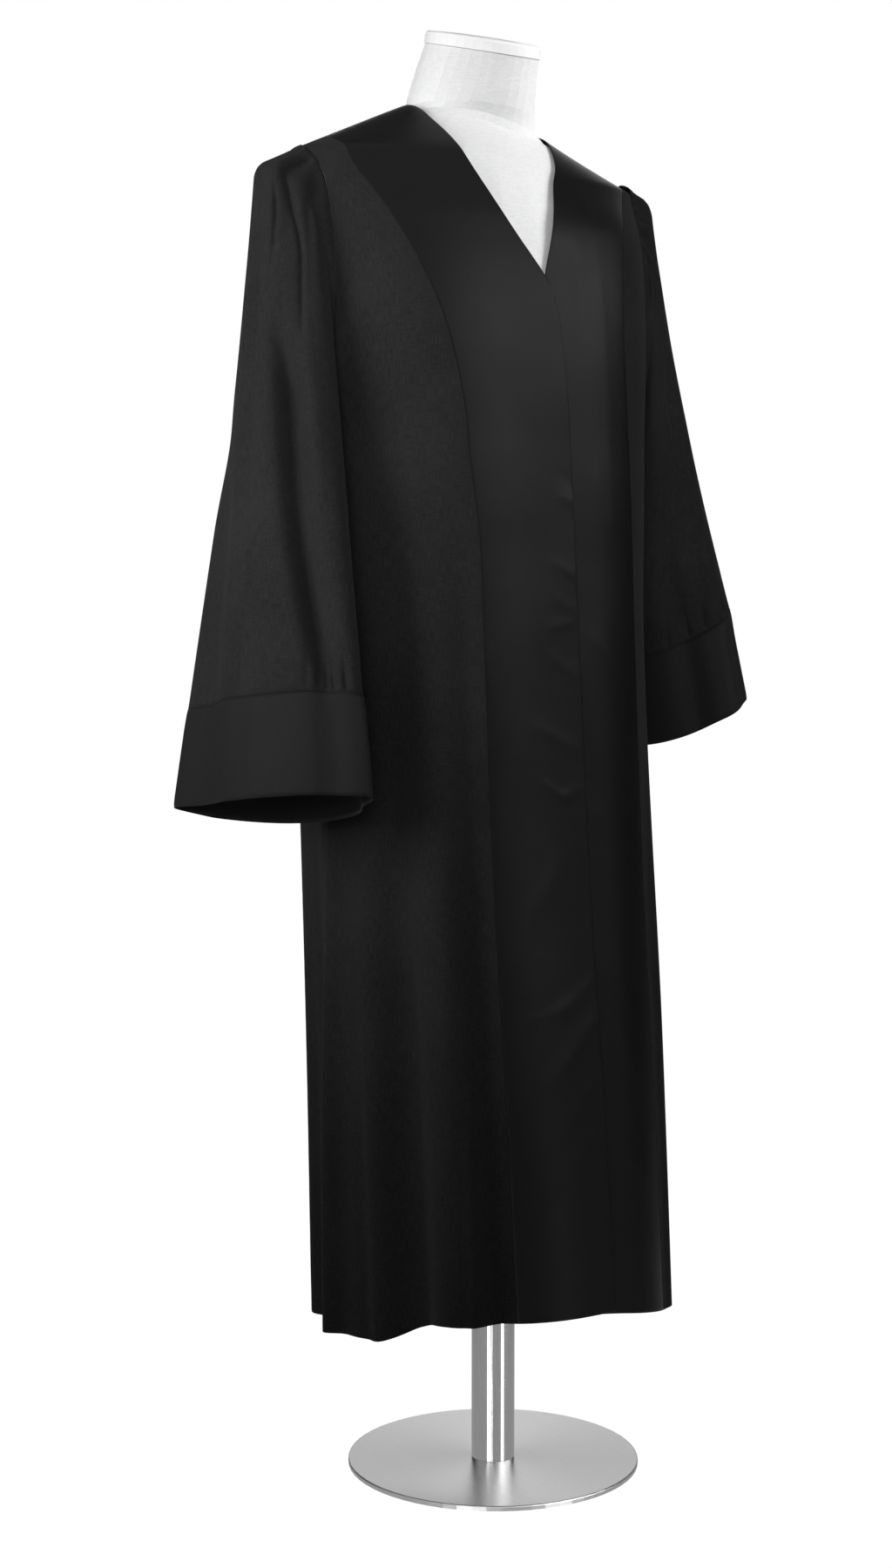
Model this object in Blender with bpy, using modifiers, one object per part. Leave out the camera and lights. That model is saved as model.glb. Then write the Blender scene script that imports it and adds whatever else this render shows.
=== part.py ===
"""A court clerk robe on a limbless dress form: matte cloth panels, satin bands and cuffs, a linen
torso with a capped neck, a steel pole and a round steel foot.

Metres, +Z up. The front faces -Y and the wearer's right is -X. The origin is the centre of the
foot's underside. A place on the robe's body is a turn, in degrees round the body (0 at the
wearer's left side, 90 at the centre back, 180 at the right side, -90 at the centre front), and a
height above the floor. Each panel is a grid of such places between its cut edges, and neighbours
take their shared edge from the same function, so the seams meet.
"""

import math

import bmesh
import bpy
import numpy as np

COLLECTION = "court_clerk_robe"

# Cloth and seams
WALL = 0.0012
SEAM_INSET = 0.0003
OVERLAP_DROP = 0.0024

# Shoulders: the seam falls in a straight line from the neck to the armhole
NECK_X = 0.0815
NECK_HEIGHT = 1.419
ARMHOLE_X = 0.206
SHOULDER_RUN = 2.45
SHOULDER_ROUNDING = 0.006
SHOULDER_LEAN = 0.0080
LEAN_START = 1.28
LEAN_END = 1.38

# Body, from section to section: half_width at the side, ridge_y of the side and shoulder line,
# depths in front of and behind it, and how square the front and back are (2 is an ellipse)
BODY_SECTIONS = (
    # height, half_width, ridge_y, front_depth, back_depth, front_power, back_power
    (0.120, 0.1665, 0.019, 0.209, 0.198, 2.4, 2.0),
    (0.165, 0.1670, 0.020, 0.206, 0.198, 2.4, 2.0),
    (0.400, 0.1690, 0.024, 0.188, 0.198, 2.4, 2.0),
    (0.660, 0.1725, 0.030, 0.166, 0.198, 2.4, 2.0),
    (0.880, 0.1790, 0.036, 0.155, 0.183, 2.4, 2.1),
    (1.000, 0.1870, 0.040, 0.150, 0.168, 2.4, 2.2),
    (1.100, 0.1970, 0.044, 0.146, 0.148, 2.3, 2.2),
    (1.200, 0.2070, 0.045, 0.138, 0.128, 2.2, 2.1),
    (1.300, 0.2130, 0.045, 0.121, 0.112, 2.0, 2.0),
    (1.360, 0.2140, 0.045, 0.094, 0.092, 1.7, 2.0),
    (1.400, 0.2140, 0.044, 0.065, 0.080, 1.6, 2.0),
    (1.440, 0.2140, 0.042, 0.038, 0.068, 1.6, 2.0),
)

# Cut edges of the fronts, as places across from the centre on each piece's own side. Below the
# point of the neck both edges run past the centre, for the overlap.
FRONT_EDGES = (
    # height, right_x, left_x
    (1.4190, 0.0815, 0.0815),
    (1.4040, 0.0810, 0.0730),
    (1.3815, 0.0745, 0.0590),
    (1.3515, 0.0650, 0.0375),
    (1.3185, 0.0500, 0.0240),
    (1.2850, 0.0290, 0.0130),
    (1.2450, 0.0000, 0.0000),
    (1.2340, -0.0060, -0.0020),
    (1.1900, -0.0150, -0.0040),
    (1.1000, -0.0195, -0.0040),
)
BAND_EDGES = (
    # height, right_x, left_x
    (1.3768, 0.1820, 0.1820),
    (1.3560, 0.1800, 0.1640),
    (1.3175, 0.1640, 0.1390),
    (1.2720, 0.1430, 0.1230),
    (1.2020, 0.1180, 0.1120),
    (1.1500, 0.1070, 0.1110),
    (1.1000, 0.1000, 0.1120),
)
OVERLAP = 0.019
UNDERLAP = 0.004
DIP_START_X = 0.061
DIP_END_X = 0.025
DIP_RISE = 0.05
DIP_LENGTH = 0.04
BAND_FOOT_X = {"right": 0.0915, "left": 0.1120}
BAND_STRAIGHT_HEIGHT = 0.95

# Armholes and side seams
UNDERARM_HEIGHT = 1.100
ARMHOLE_FRONT = 0.048
ARMHOLE_BACK = 0.050
SIDE_SEAM = (
    # height, degrees behind the side
    (0.120, -11.0),
    (0.200, -9.5),
    (0.330, -5.0),
    (0.460, 0.5),
    (0.585, 10.0),
    (0.690, 17.0),
    (0.850, 17.0),
    (1.000, 8.0),
    (1.100, 0.0),
)

# Back neck and its band
BACK_NECK_DROP = 0.012
BACK_BAND_DROP = 0.042
BACK_BAND_POWER = 1.5

# The hem, which is a little lower on the left of the front than on the right
HEM_SIDE = 0.160
HEM_HEIGHTS = (
    # turn, height
    (-180.0, 0.160),
    (-170.0, 0.165),
    (-158.0, 0.184),
    (-140.0, 0.200),
    (-100.0, 0.202),
    (-78.0, 0.198),
    (-60.0, 0.184),
    (-45.0, 0.175),
    (-10.0, 0.165),
    (0.0, 0.160),
    (45.0, 0.150),
    (90.0, 0.146),
    (135.0, 0.150),
    (180.0, 0.160),
)

# Hanging folds of the body. A positive depth is a ridge and a negative one a valley.
BODY_FOLDS = (
    # top_turn, foot_turn, top_height, foot_height, width, depth
    (-123.0, -125.0, 1.10, 0.10, 4.5, -0.005),
    (-139.0, -146.0, 1.16, 0.10, 7.0, 0.006),
    (-131.0, -131.0, 0.60, 0.10, 4.5, 0.005),
    (-160.0, -163.0, 0.95, 0.10, 6.0, -0.009),
    (-174.0, -176.0, 0.70, 0.10, 5.0, 0.004),
    (171.0, 170.0, 0.75, 0.10, 7.0, 0.007),
    (157.0, 156.0, 0.95, 0.10, 7.0, -0.010),
    (141.0, 142.0, 1.16, 0.10, 8.0, 0.007),
    (125.0, 125.0, 1.06, 0.10, 8.0, -0.012),
    (110.0, 108.0, 1.18, 0.10, 7.5, 0.012),
    (95.0, 92.0, 1.02, 0.10, 8.0, -0.013),
    (79.0, 77.0, 1.17, 0.10, 7.0, 0.011),
    (63.0, 61.0, 1.05, 0.10, 8.0, -0.013),
    (47.0, 46.0, 1.14, 0.10, 8.0, 0.013),
    (29.0, 28.0, 0.92, 0.10, 8.5, -0.011),
    (12.0, 10.0, 0.80, 0.10, 7.0, 0.008),
    (-10.0, -12.0, 0.90, 0.10, 8.0, -0.007),
    (-36.0, -38.0, 1.02, 0.10, 9.0, 0.004),
)
FOLD_FADE = 0.45

# Sleeves. Positions round a sleeve run from 0 at the top and the outer side, over the front,
# to 1 under the arm, and over the back to -1. Positions along it run from 0 at the armhole to
# 1 at the cuff's edge.
CUFF_LENGTH = 0.100
CUFF_LIFT = 0.0005
SEAM_STEP = 0.0008
UNDERARM_REACH = 0.012
HEAD_FALL = 23.0
UNDERARM_FALL = 52.0
HEAD_STRAIGHT = 0.76
HEAD_SPREAD = 0.25
HEAD_TURN = 0.013
SLEEVE_ENDS = {
    "right": dict(
        centre_x=0.2700, centre_y=0.000, long=0.115, short=0.060, turn=15.0,
        outer=0.726, front=0.730, inner=0.696, back=0.703, head_reach=0.047, hang=0.000,
    ),
    "left": dict(
        centre_x=0.3030, centre_y=0.060, long=0.112, short=0.062, turn=8.0,
        outer=0.822, front=0.794, inner=0.757, back=0.802, head_reach=0.031, hang=0.012,
    ),
}
HEAD_PLEAT_WIDTH = 0.045
HEAD_PLEAT_RISE = 0.035
HEAD_PLEATS = (
    # round, depth, length
    (-0.500, 0.0050, 0.20),
    (-0.333, 0.0065, 0.26),
    (-0.167, 0.0060, 0.22),
    (0.000, 0.0045, 0.16),
    (0.167, 0.0075, 0.26),
    (0.333, 0.0080, 0.34),
    (0.500, 0.0065, 0.30),
)
SLEEVE_FOLD_START = 0.25
SLEEVE_FOLD_END = 0.12
SLEEVE_FOLDS = (
    # head_round, foot_round, start, end, width, depth
    (0.26, 0.36, 0.30, 0.88, 0.085, -0.012),
    (0.44, 0.52, 0.34, 1.10, 0.080, 0.007),
    (0.72, 0.66, 0.45, 1.10, 0.080, -0.009),
    (-0.22, -0.16, 0.35, 1.10, 0.090, -0.009),
    (-0.42, -0.36, 0.30, 1.10, 0.090, 0.009),
    (-0.66, -0.58, 0.38, 1.10, 0.085, -0.010),
)
CUFF_GATHER_WIDTH = 0.030
CUFF_GATHER_LENGTH = 0.10
CUFF_GATHERS = (
    # round, depth
    (-0.556, 0.0022),
    (-0.222, 0.0018),
    (0.333, 0.0020),
    (0.444, 0.0026),
    (0.556, 0.0028),
    (0.667, 0.0024),
    (0.778, 0.0020),
)

# Rows and columns of the grids
ARMHOLE_STEPS = (0.035,) * 10 + (0.08125,) * 8
SKIRT_ROWS = 9
BAND_COLUMNS = 5
FRONT_COLUMNS = 8
BACK_COLUMNS = 28
BACK_BAND_ROWS = 5
SHOULDER_ROWS = 3
EDGE_CROWDING = 0.35
HEAD_ROWS = 2
TURN_ROWS = 4
ARM_ROWS = 8
CUFF_ROWS = 2

# Dress form
TORSO_COLUMNS = 32
TORSO_CLEARANCE = 0.0058
TORSO_FOOT = 0.760
TORSO_SECTIONS = (
    # height, half_width, centre_y, front_depth, back_depth
    (0.760, 0.120, 0.045, 0.085, 0.095),
    (0.775, 0.148, 0.045, 0.108, 0.120),
    (0.860, 0.156, 0.045, 0.118, 0.128),
    (0.960, 0.140, 0.043, 0.104, 0.108),
    (1.030, 0.132, 0.043, 0.100, 0.100),
    (1.110, 0.148, 0.044, 0.114, 0.108),
    (1.180, 0.172, 0.045, 0.124, 0.112),
)
TORSO_BODY_HEIGHTS = (1.240, 1.285, 1.320, 1.345, 1.3585, 1.366, 1.374, 1.383, 1.392, 1.401)
NECK_SECTIONS = (
    # height, half_width, centre_y, front_depth, back_depth, tilt, share of the shoulders' lean
    (1.4070, 0.0910, 0.043, 0.0520, 0.0700, 0.0, 1.0),
    (1.4150, 0.0760, 0.043, 0.0540, 0.0680, 0.0, 0.9),
    (1.4270, 0.0700, 0.042, 0.0610, 0.0670, 1.0, 0.3),
    (1.4450, 0.0665, 0.039, 0.0645, 0.0650, 4.0, 0.0),
    (1.4650, 0.0630, 0.032, 0.0625, 0.0625, 9.0, 0.0),
    (1.4870, 0.0595, 0.022, 0.0595, 0.0595, 14.0, 0.0),
)
CAP_RADIUS = 0.0610
CAP_THICKNESS = 0.0130
CAP_EDGE = 0.0035
CAP_DOME = 0.0020
CAP_GAP = 0.0003
CAP_STEPS = 40
POLE_DIAMETER = 0.046
DISC_RADIUS = 0.155
DISC_THICKNESS = 0.005
DISC_EDGE = 0.0012
DISC_STEPS = 64
REST_GAP = 0.0003

# Finishes: colour, roughness, metallic
FINISHES = {
    "wool": ((0.022, 0.022, 0.023), 0.85, 0.0),
    "satin": ((0.018, 0.018, 0.019), 0.45, 0.0),
    "linen": ((0.82, 0.82, 0.82), 0.90, 0.0),
    "cap": ((0.86, 0.86, 0.86), 0.50, 0.0),
    "steel": ((0.62, 0.62, 0.63), 0.30, 1.0),
}


def smooth_curve(places, values):
    """A function through the values that stays smooth and doesn't overshoot between them."""
    places = np.asarray(places, float)
    values = np.asarray(values, float)
    steps = np.diff(places)
    slopes = np.diff(values) / steps
    tangents = np.zeros(len(places))
    tangents[0] = slopes[0]
    tangents[-1] = slopes[-1]
    for i, (before, after) in enumerate(zip(slopes[:-1], slopes[1:]), start=1):
        if before * after > 0:
            tangents[i] = 2 * before * after / (before + after)

    def at(place):
        place = np.clip(place, places[0], places[-1])
        i = np.clip(np.searchsorted(places, place, side="right") - 1, 0, len(steps) - 1)
        s = (place - places[i]) / steps[i]
        start = values[i] * (1 + 2 * s) + tangents[i] * steps[i] * s
        end = values[i + 1] * (3 - 2 * s) + tangents[i + 1] * steps[i] * (s - 1)
        return start * (1 - s) ** 2 + end * s**2

    return at


def smooth_step(value):
    value = np.clip(value, 0.0, 1.0)
    return value * value * (3 - 2 * value)


def columns_of(table):
    """One smooth curve over the first column for each further column of a table."""
    first, *others = zip(*table)
    return [smooth_curve(first, other) for other in others]


SIDE_HALF_WIDTH, RIDGE_Y, FRONT_DEPTH, BACK_DEPTH, FRONT_POWER, BACK_POWER = columns_of(
    BODY_SECTIONS
)


def half_width(height):
    """Half the body's width: the slope of the shoulders, rounded into the sides."""
    slope = NECK_X + (NECK_HEIGHT - height) * SHOULDER_RUN
    side = SIDE_HALF_WIDTH(height)
    blend = np.maximum(SHOULDER_ROUNDING - np.abs(slope - side), 0.0)
    return np.minimum(slope, side) - blend**2 / (4 * SHOULDER_ROUNDING)


def shoulder_lean(x, height):
    """The robe sits a little askew: the right shoulder's neck end is higher than the left's."""
    across = x / NECK_X
    rise = smooth_step((height - LEAN_START) / (LEAN_END - LEAN_START))
    return -SHOULDER_LEAN * 2 * across / (1 + across**2) * rise


def body_surface(turn, height):
    """Points of the body's smooth form, without folds."""
    cosine = np.cos(np.radians(turn))
    sine = np.sin(np.radians(turn))
    front = sine < 0
    power = np.where(front, FRONT_POWER(height), BACK_POWER(height))
    depth = np.where(front, FRONT_DEPTH(height), BACK_DEPTH(height))
    x = half_width(height) * np.sign(cosine) * np.abs(cosine) ** (2 / power)
    y = RIDGE_Y(height) + depth * np.sign(sine) * np.abs(sine) ** (2 / power)
    return np.stack([x, y, height + shoulder_lean(x, height)], axis=-1)


def body_normal(turn, height):
    across = body_surface(turn + 0.5, height) - body_surface(turn - 0.5, height)
    upward = body_surface(turn, height + 0.001) - body_surface(turn, height - 0.001)
    normal = np.cross(across, upward)
    return normal / np.linalg.norm(normal, axis=-1, keepdims=True)


def fold_height(turn, height):
    """How far the cloth stands out from, or in from, the smooth body at each place."""
    total = np.zeros(np.broadcast(turn, height).shape)
    for top_turn, foot_turn, top, foot, width, depth in BODY_FOLDS:
        down = np.clip((top - height) / (top - foot), 0.0, 1.0)
        middle = top_turn + (foot_turn - top_turn) * down
        away = (turn - middle + 180.0) % 360.0 - 180.0
        strength = smooth_step((top - height) / FOLD_FADE)
        total += depth * strength * np.exp(-((away / width) ** 2))
    return total


def body_point(turn, height):
    """Points of the robe's outer face, folds included."""
    turn = np.asarray(turn, float)
    height = np.asarray(height, float)
    out = fold_height(turn, height)[..., None]
    return body_surface(turn, height) + body_normal(turn, height) * out


def turn_at_x(x, height):
    """The turn on the front at a place across from the centre, negative on the right side."""
    share = np.clip(np.abs(x) / half_width(height), 0.0, 1.0)
    return -np.degrees(np.arccos(np.sign(x) * share ** (FRONT_POWER(height) / 2)))


def shoulder_height(x):
    """The height of the shoulder seam at a place across from the centre."""
    heights = np.linspace(NECK_HEIGHT, UNDERARM_HEIGHT, 2001)
    return float(heights[np.argmax(half_width(heights) >= x)])


def hem_height(turn):
    return HEM_AT((np.asarray(turn) + 180.0) % 360.0 - 180.0)


def walked(turns, heights):
    """How much of a line of places lies behind each place, from 0 to 1, by its real length."""
    steps = np.linalg.norm(np.diff(body_surface(turns, heights), axis=0), axis=1)
    return np.concatenate([[0.0], np.cumsum(steps)]) / steps.sum()


def even_line(turns, heights):
    """A function from 0 to 1 that walks a line of places evenly."""
    share = walked(turns, heights)
    return lambda t: (np.interp(t, share, turns), np.interp(t, share, heights))


def front_line(heights, xs):
    """A line down a front, as places on the right, from the shoulder seam to the underarm."""
    rows = np.linspace(0.0, 1.0, len(xs))
    x_at = smooth_curve(rows, xs)
    height_at = smooth_curve(rows, heights)
    samples = np.linspace(0.0, 1.0, 600) ** 2
    turns = turn_at_x(-x_at(samples), height_at(samples))
    turns[0] = -180.0
    return even_line(turns, height_at(samples))


def armhole_line(depth, side):
    """Half the right armhole, from the shoulder seam to the underarm; side is -1 for the front."""
    angle = np.linspace(0.0, math.pi, 600)
    middle = (ARMHOLE_TOP + UNDERARM_HEIGHT) / 2
    heights = middle + (ARMHOLE_TOP - UNDERARM_HEIGHT) / 2 * np.cos(angle)
    if side < 0:
        reach, power = FRONT_DEPTH(heights), FRONT_POWER(heights)
    else:
        reach, power = BACK_DEPTH(heights), BACK_POWER(heights)
    sine = np.clip(depth * np.sin(angle) / reach, 0.0, 1.0) ** (power / 2)
    return even_line(side * (180.0 - np.degrees(np.arcsin(sine))), heights)


EDGE_HEIGHTS, *EDGE_XS = zip(*FRONT_EDGES)
BAND_HEIGHTS, *BAND_XS = zip(*BAND_EDGES)
ARMHOLE_TOP = shoulder_height(ARMHOLE_X)
NECK_POINT_HEIGHT = EDGE_HEIGHTS[EDGE_XS[0].index(0.0)]
NECK_LINE = {side: front_line(EDGE_HEIGHTS, xs) for side, xs in zip(("right", "left"), EDGE_XS)}
BAND_LINE = {side: front_line(BAND_HEIGHTS, xs) for side, xs in zip(("right", "left"), BAND_XS)}
EDGE_FOOT_X = {"right": OVERLAP, "left": UNDERLAP}
BAND_TOP_X = {side: xs[-1] for side, xs in zip(("right", "left"), BAND_XS)}
ARMHOLE_FRONT_LINE = armhole_line(ARMHOLE_FRONT, -1)
ARMHOLE_BACK_LINE = armhole_line(ARMHOLE_BACK, 1)
SEAM_BEHIND = columns_of(SIDE_SEAM)[0]
HEM_AT = columns_of(HEM_HEIGHTS)[0]
BODY_ROWS = np.cumsum((0.0,) + ARMHOLE_STEPS + (1.0 / SKIRT_ROWS,) * SKIRT_ROWS)


def skirt_heights(turn, t, side="right"):
    """Heights below the underarm, as t goes from 1 there to 2 at the hem."""
    hem = hem_height(-180.0 - turn if side == "left" else turn)
    return UNDERARM_HEIGHT + (hem - UNDERARM_HEIGHT) * (t - 1.0)


def neck_edge(t, side):
    """A front's neckline and then its overlapping edge, as places on the right, t from 0 to 2."""
    turn, height = NECK_LINE[side](np.minimum(t, 1.0))
    height = np.where(t > 1.0, skirt_heights(-90.0, t), height)
    return np.where(t > 1.0, turn_at_x(EDGE_FOOT_X[side], height), turn), height


def band_edge(t, side):
    """The seam between a band and its front, as places on the right, t from 0 to 2."""
    turn, height = BAND_LINE[side](np.minimum(t, 1.0))
    top_x, foot_x = BAND_TOP_X[side], BAND_FOOT_X[side]
    below = skirt_heights(turn_at_x(-foot_x, HEM_SIDE), t, side)
    settled = smooth_step((UNDERARM_HEIGHT - below) / (UNDERARM_HEIGHT - BAND_STRAIGHT_HEIGHT))
    height = np.where(t > 1.0, below, height)
    return np.where(t > 1.0, turn_at_x(-top_x - (foot_x - top_x) * settled, height), turn), height


def side_edge(t, armhole, side):
    """The armhole and then the side seam of the right side; side is -1 as the front meets it."""
    turn, height = armhole(np.minimum(t, 1.0))
    below = skirt_heights(180.0 - SEAM_BEHIND(HEM_SIDE), t)
    seam = 180.0 - SEAM_BEHIND(below)
    if side < 0:
        seam = seam - 360.0
    return np.where(t > 1.0, seam, turn), np.where(t > 1.0, below, height)


def crowded(count):
    """Steps from 0 to 1 that are shorter at both ends."""
    share = np.linspace(0.0, 1.0, count + 1)
    return share - EDGE_CROWDING * np.sin(2 * math.pi * share) / (2 * math.pi)


def between(first, last, share):
    """A grid of places on straight lines from each place of one edge to that of another."""
    turns = first[0][:, None] * (1 - share) + last[0][:, None] * share
    heights = first[1][:, None] * (1 - share) + last[1][:, None] * share
    return turns, heights


def front_grid(side):
    """The places of a front. Its columns hang straight and only the last ones follow the seam."""
    share = np.linspace(0.0, 1.0, FRONT_COLUMNS + 1)
    first, last = band_edge(BODY_ROWS, side), side_edge(BODY_ROWS, ARMHOLE_FRONT_LINE, -1)
    turns, heights = between(first, (np.full(len(BODY_ROWS), -180.0), last[1]), share)
    rows = BODY_ROWS[:, None]
    turns = turns + (last[0] + 180.0)[:, None] * share ** np.where(rows > 1.0, 3.0, 1.0)
    return turns, np.where(rows > 1.0, skirt_heights(turns[-1], rows, side), heights)


def mirrored(turns, heights):
    """The same places on the wearer's left, in an order that keeps the outside outside."""
    return (-180.0 - turns)[:, ::-1], heights[:, ::-1]


def drawn_in(edge, inner, closed=False):
    """The points of an edge moved by the seam's inset, square to the edge, towards its inside."""
    if closed:
        along = np.roll(edge, -1, axis=0) - np.roll(edge, 1, axis=0)
    else:
        along = np.gradient(edge, axis=0)
    step = inner - edge
    share = np.sum(step * along, axis=-1) / np.sum(along * along, axis=-1)
    step = step - along * share[:, None]
    return edge + step / np.linalg.norm(step, axis=-1, keepdims=True) * SEAM_INSET


def inset(points, closed=False):
    """Draw the grid's edges in, which leaves the gap of a seam round the piece."""
    points = points.copy()
    for row, inner in ((0, 1), (-1, -2)):
        points[row] = drawn_in(points[row], points[inner], closed)
    if not closed:
        for column, inner in ((0, 1), (-1, -2)):
            points[:, column] = drawn_in(points[:, column], points[:, inner])
    return points


def finish_material(name):
    colour, roughness, metallic = FINISHES[name]
    material = bpy.data.materials.get(name) or bpy.data.materials.new(name)
    material.use_nodes = True
    shader = material.node_tree.nodes["Principled BSDF"]
    shader.inputs["Base Color"].default_value = (*colour, 1.0)
    shader.inputs["Roughness"].default_value = roughness
    shader.inputs["Metallic"].default_value = metallic
    return material


def place(obj, finish):
    """Put an object into the robe's collection, smooth shaded and with a material of its own."""
    bpy.data.collections[COLLECTION].objects.link(obj)
    material = finish_material(finish).copy()
    material.name = obj.name
    obj.data.materials.append(material)
    obj.data.shade_smooth()
    return obj


def cloth(name, points, finish, closed=False):
    """A wall of cloth on a grid of points of its outer face, thickened inwards."""
    rows, columns = points.shape[:2]
    mesh = bmesh.new()
    corners = [[mesh.verts.new(point) for point in row] for row in points]
    for i in range(rows - 1):
        for j in range(columns if closed else columns - 1):
            k = (j + 1) % columns
            mesh.faces.new((corners[i][j], corners[i + 1][j], corners[i + 1][k], corners[i][k]))
    data = bpy.data.meshes.new(name)
    mesh.to_mesh(data)
    mesh.free()
    obj = place(bpy.data.objects.new(name, data), finish)
    wall = obj.modifiers.new("wall", "SOLIDIFY")
    wall.thickness = WALL
    wall.offset = -1.0
    wall.use_quality_normals = True
    return obj


def loft(name, rings, finish):
    """A closed solid through rings of points, from the lowest to the highest."""
    mesh = bmesh.new()
    corners = [[mesh.verts.new(point) for point in ring] for ring in rings]
    count = len(corners[0])
    for lower, upper in zip(corners[:-1], corners[1:]):
        for j in range(count):
            k = (j + 1) % count
            mesh.faces.new((lower[j], lower[k], upper[k], upper[j]))
    mesh.faces.new(corners[0][::-1])
    mesh.faces.new(corners[-1])
    data = bpy.data.meshes.new(name)
    mesh.to_mesh(data)
    mesh.free()
    obj = place(bpy.data.objects.new(name, data), finish)
    obj.data.set_sharp_from_angle(angle=math.radians(50))
    return obj


def turned(name, profile, finish, steps):
    """A solid turned about Z from a profile that runs down its outer side."""
    data = bpy.data.meshes.new(name)
    edges = [(i, i + 1) for i in range(len(profile) - 1)]
    data.from_pydata([(radius, 0.0, height) for radius, height in profile], edges, [])
    obj = place(bpy.data.objects.new(name, data), finish)
    screw = obj.modifiers.new("turn", "SCREW")
    screw.steps = steps
    screw.render_steps = steps
    screw.use_merge_vertices = True
    screw.merge_threshold = 0.00001
    screw.use_smooth_shade = True
    return obj


def make_bands():
    """The satin trim down each front. The left one dips to lie under the right one."""
    share = np.linspace(0.0, 1.0, BAND_COLUMNS + 1)
    grid = between(neck_edge(BODY_ROWS, "right"), band_edge(BODY_ROWS, "right"), share)
    cloth("band_right", inset(body_point(*grid))[:, ::-1], "satin")
    grid = between(neck_edge(BODY_ROWS, "left"), band_edge(BODY_ROWS, "left"), share)
    turns, heights = mirrored(*grid)
    points = body_point(turns, heights)
    across = smooth_step((DIP_START_X - points[..., 0]) / (DIP_START_X - DIP_END_X))
    down = smooth_step((NECK_POINT_HEIGHT + DIP_RISE - points[..., 2]) / DIP_LENGTH)
    points = points - body_normal(turns, heights) * (OVERLAP_DROP * across * down)[..., None]
    cloth("band_left", inset(points)[:, ::-1], "satin")


def make_fronts():
    grids = {"front_right": front_grid("right"), "front_left": mirrored(*front_grid("left"))}
    for name, grid in grids.items():
        cloth(name, inset(body_point(*grid))[:, ::-1], "wool")


def back_band_lines():
    """The back neckline and the lower edge of its band, from the right shoulder to the left."""
    turns = 180.0 * (1 - crowded(BACK_COLUMNS))
    rise = np.abs(np.sin(np.radians(turns)))
    neck = (turns, NECK_HEIGHT - BACK_NECK_DROP * rise)
    edge = (turns, BAND_HEIGHTS[0] - BACK_BAND_DROP * rise**BACK_BAND_POWER)
    return neck, edge


def make_back_band():
    neck, edge = back_band_lines()
    turns, heights = between(neck, edge, crowded(BACK_BAND_ROWS))
    points = body_point(turns.T, heights.T)
    cloth("band_back", inset(points)[:, ::-1], "satin")


def make_back():
    """The back, under its band: a patch blended from its edges, with the shoulders' short ends."""
    _, top = back_band_lines()
    rows = np.arange(SHOULDER_ROWS) / SHOULDER_ROWS
    shoulder = BAND_HEIGHTS[0] + (ARMHOLE_TOP - BAND_HEIGHTS[0]) * rows
    side_turns, side_heights = side_edge(BODY_ROWS, ARMHOLE_BACK_LINE, 1)
    right_turns = np.concatenate([180.0 + 0 * shoulder, side_turns])
    heights = np.concatenate([shoulder, side_heights])
    left_turns = 180.0 - right_turns
    s = walked(*top)
    t = walked(right_turns, heights)
    foot_turns = right_turns[-1] + (left_turns[-1] - right_turns[-1]) * s
    turns = blended(top[0], foot_turns, right_turns, left_turns, s, t)
    heights = blended(top[1], hem_height(foot_turns), heights, heights, s, t)
    cloth("back", inset(body_point(turns, heights))[:, ::-1], "wool")


def blended(top, foot, first, last, s, t):
    """The patch between top and foot, whose two sides soon fade into straight columns."""
    s = s[None, :]
    t = t[:, None]
    down = top[None, :] * (1 - t) + foot[None, :] * t
    first_wander = first[:, None] - down[:, :1]
    last_wander = last[:, None] - down[:, -1:]
    return down + first_wander * (1 - s) ** 3 + last_wander * s**3


def sleeve_ring():
    """The right armhole's outline with each column's position round the sleeve."""
    rows = BODY_ROWS[: len(ARMHOLE_STEPS) + 1]
    front = body_point(*ARMHOLE_FRONT_LINE(rows))
    back = body_point(*ARMHOLE_BACK_LINE(rows))
    half = len(ARMHOLE_STEPS)
    ring = np.concatenate([front, back[-2:0:-1]])
    round_place = np.concatenate([np.arange(half + 1), np.arange(-half + 1, 0)]) / half
    return ring, round_place


def sleeve_end(round_place, end):
    """The cuff's edge: a slanting oval, turned a little out at the back."""
    angle = round_place * math.pi
    forward = end["long"] * np.sin(angle)
    outward = end["short"] * np.cos(angle)
    lean = math.radians(end["turn"])
    x = -end["centre_x"] - outward * math.cos(lean) + forward * math.sin(lean)
    y = end["centre_y"] - forward * math.cos(lean) - outward * math.sin(lean)
    mean = (end["outer"] + end["front"] + end["inner"] + end["back"]) / 4
    height = (
        mean
        + (end["outer"] - end["inner"]) / 2 * np.cos(angle)
        + (end["front"] - end["back"]) / 2 * np.sin(angle)
        + (end["outer"] + end["inner"] - end["front"] - end["back"]) / 4 * np.cos(2 * angle)
    )
    return np.stack([x, y, height], axis=-1)


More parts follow.
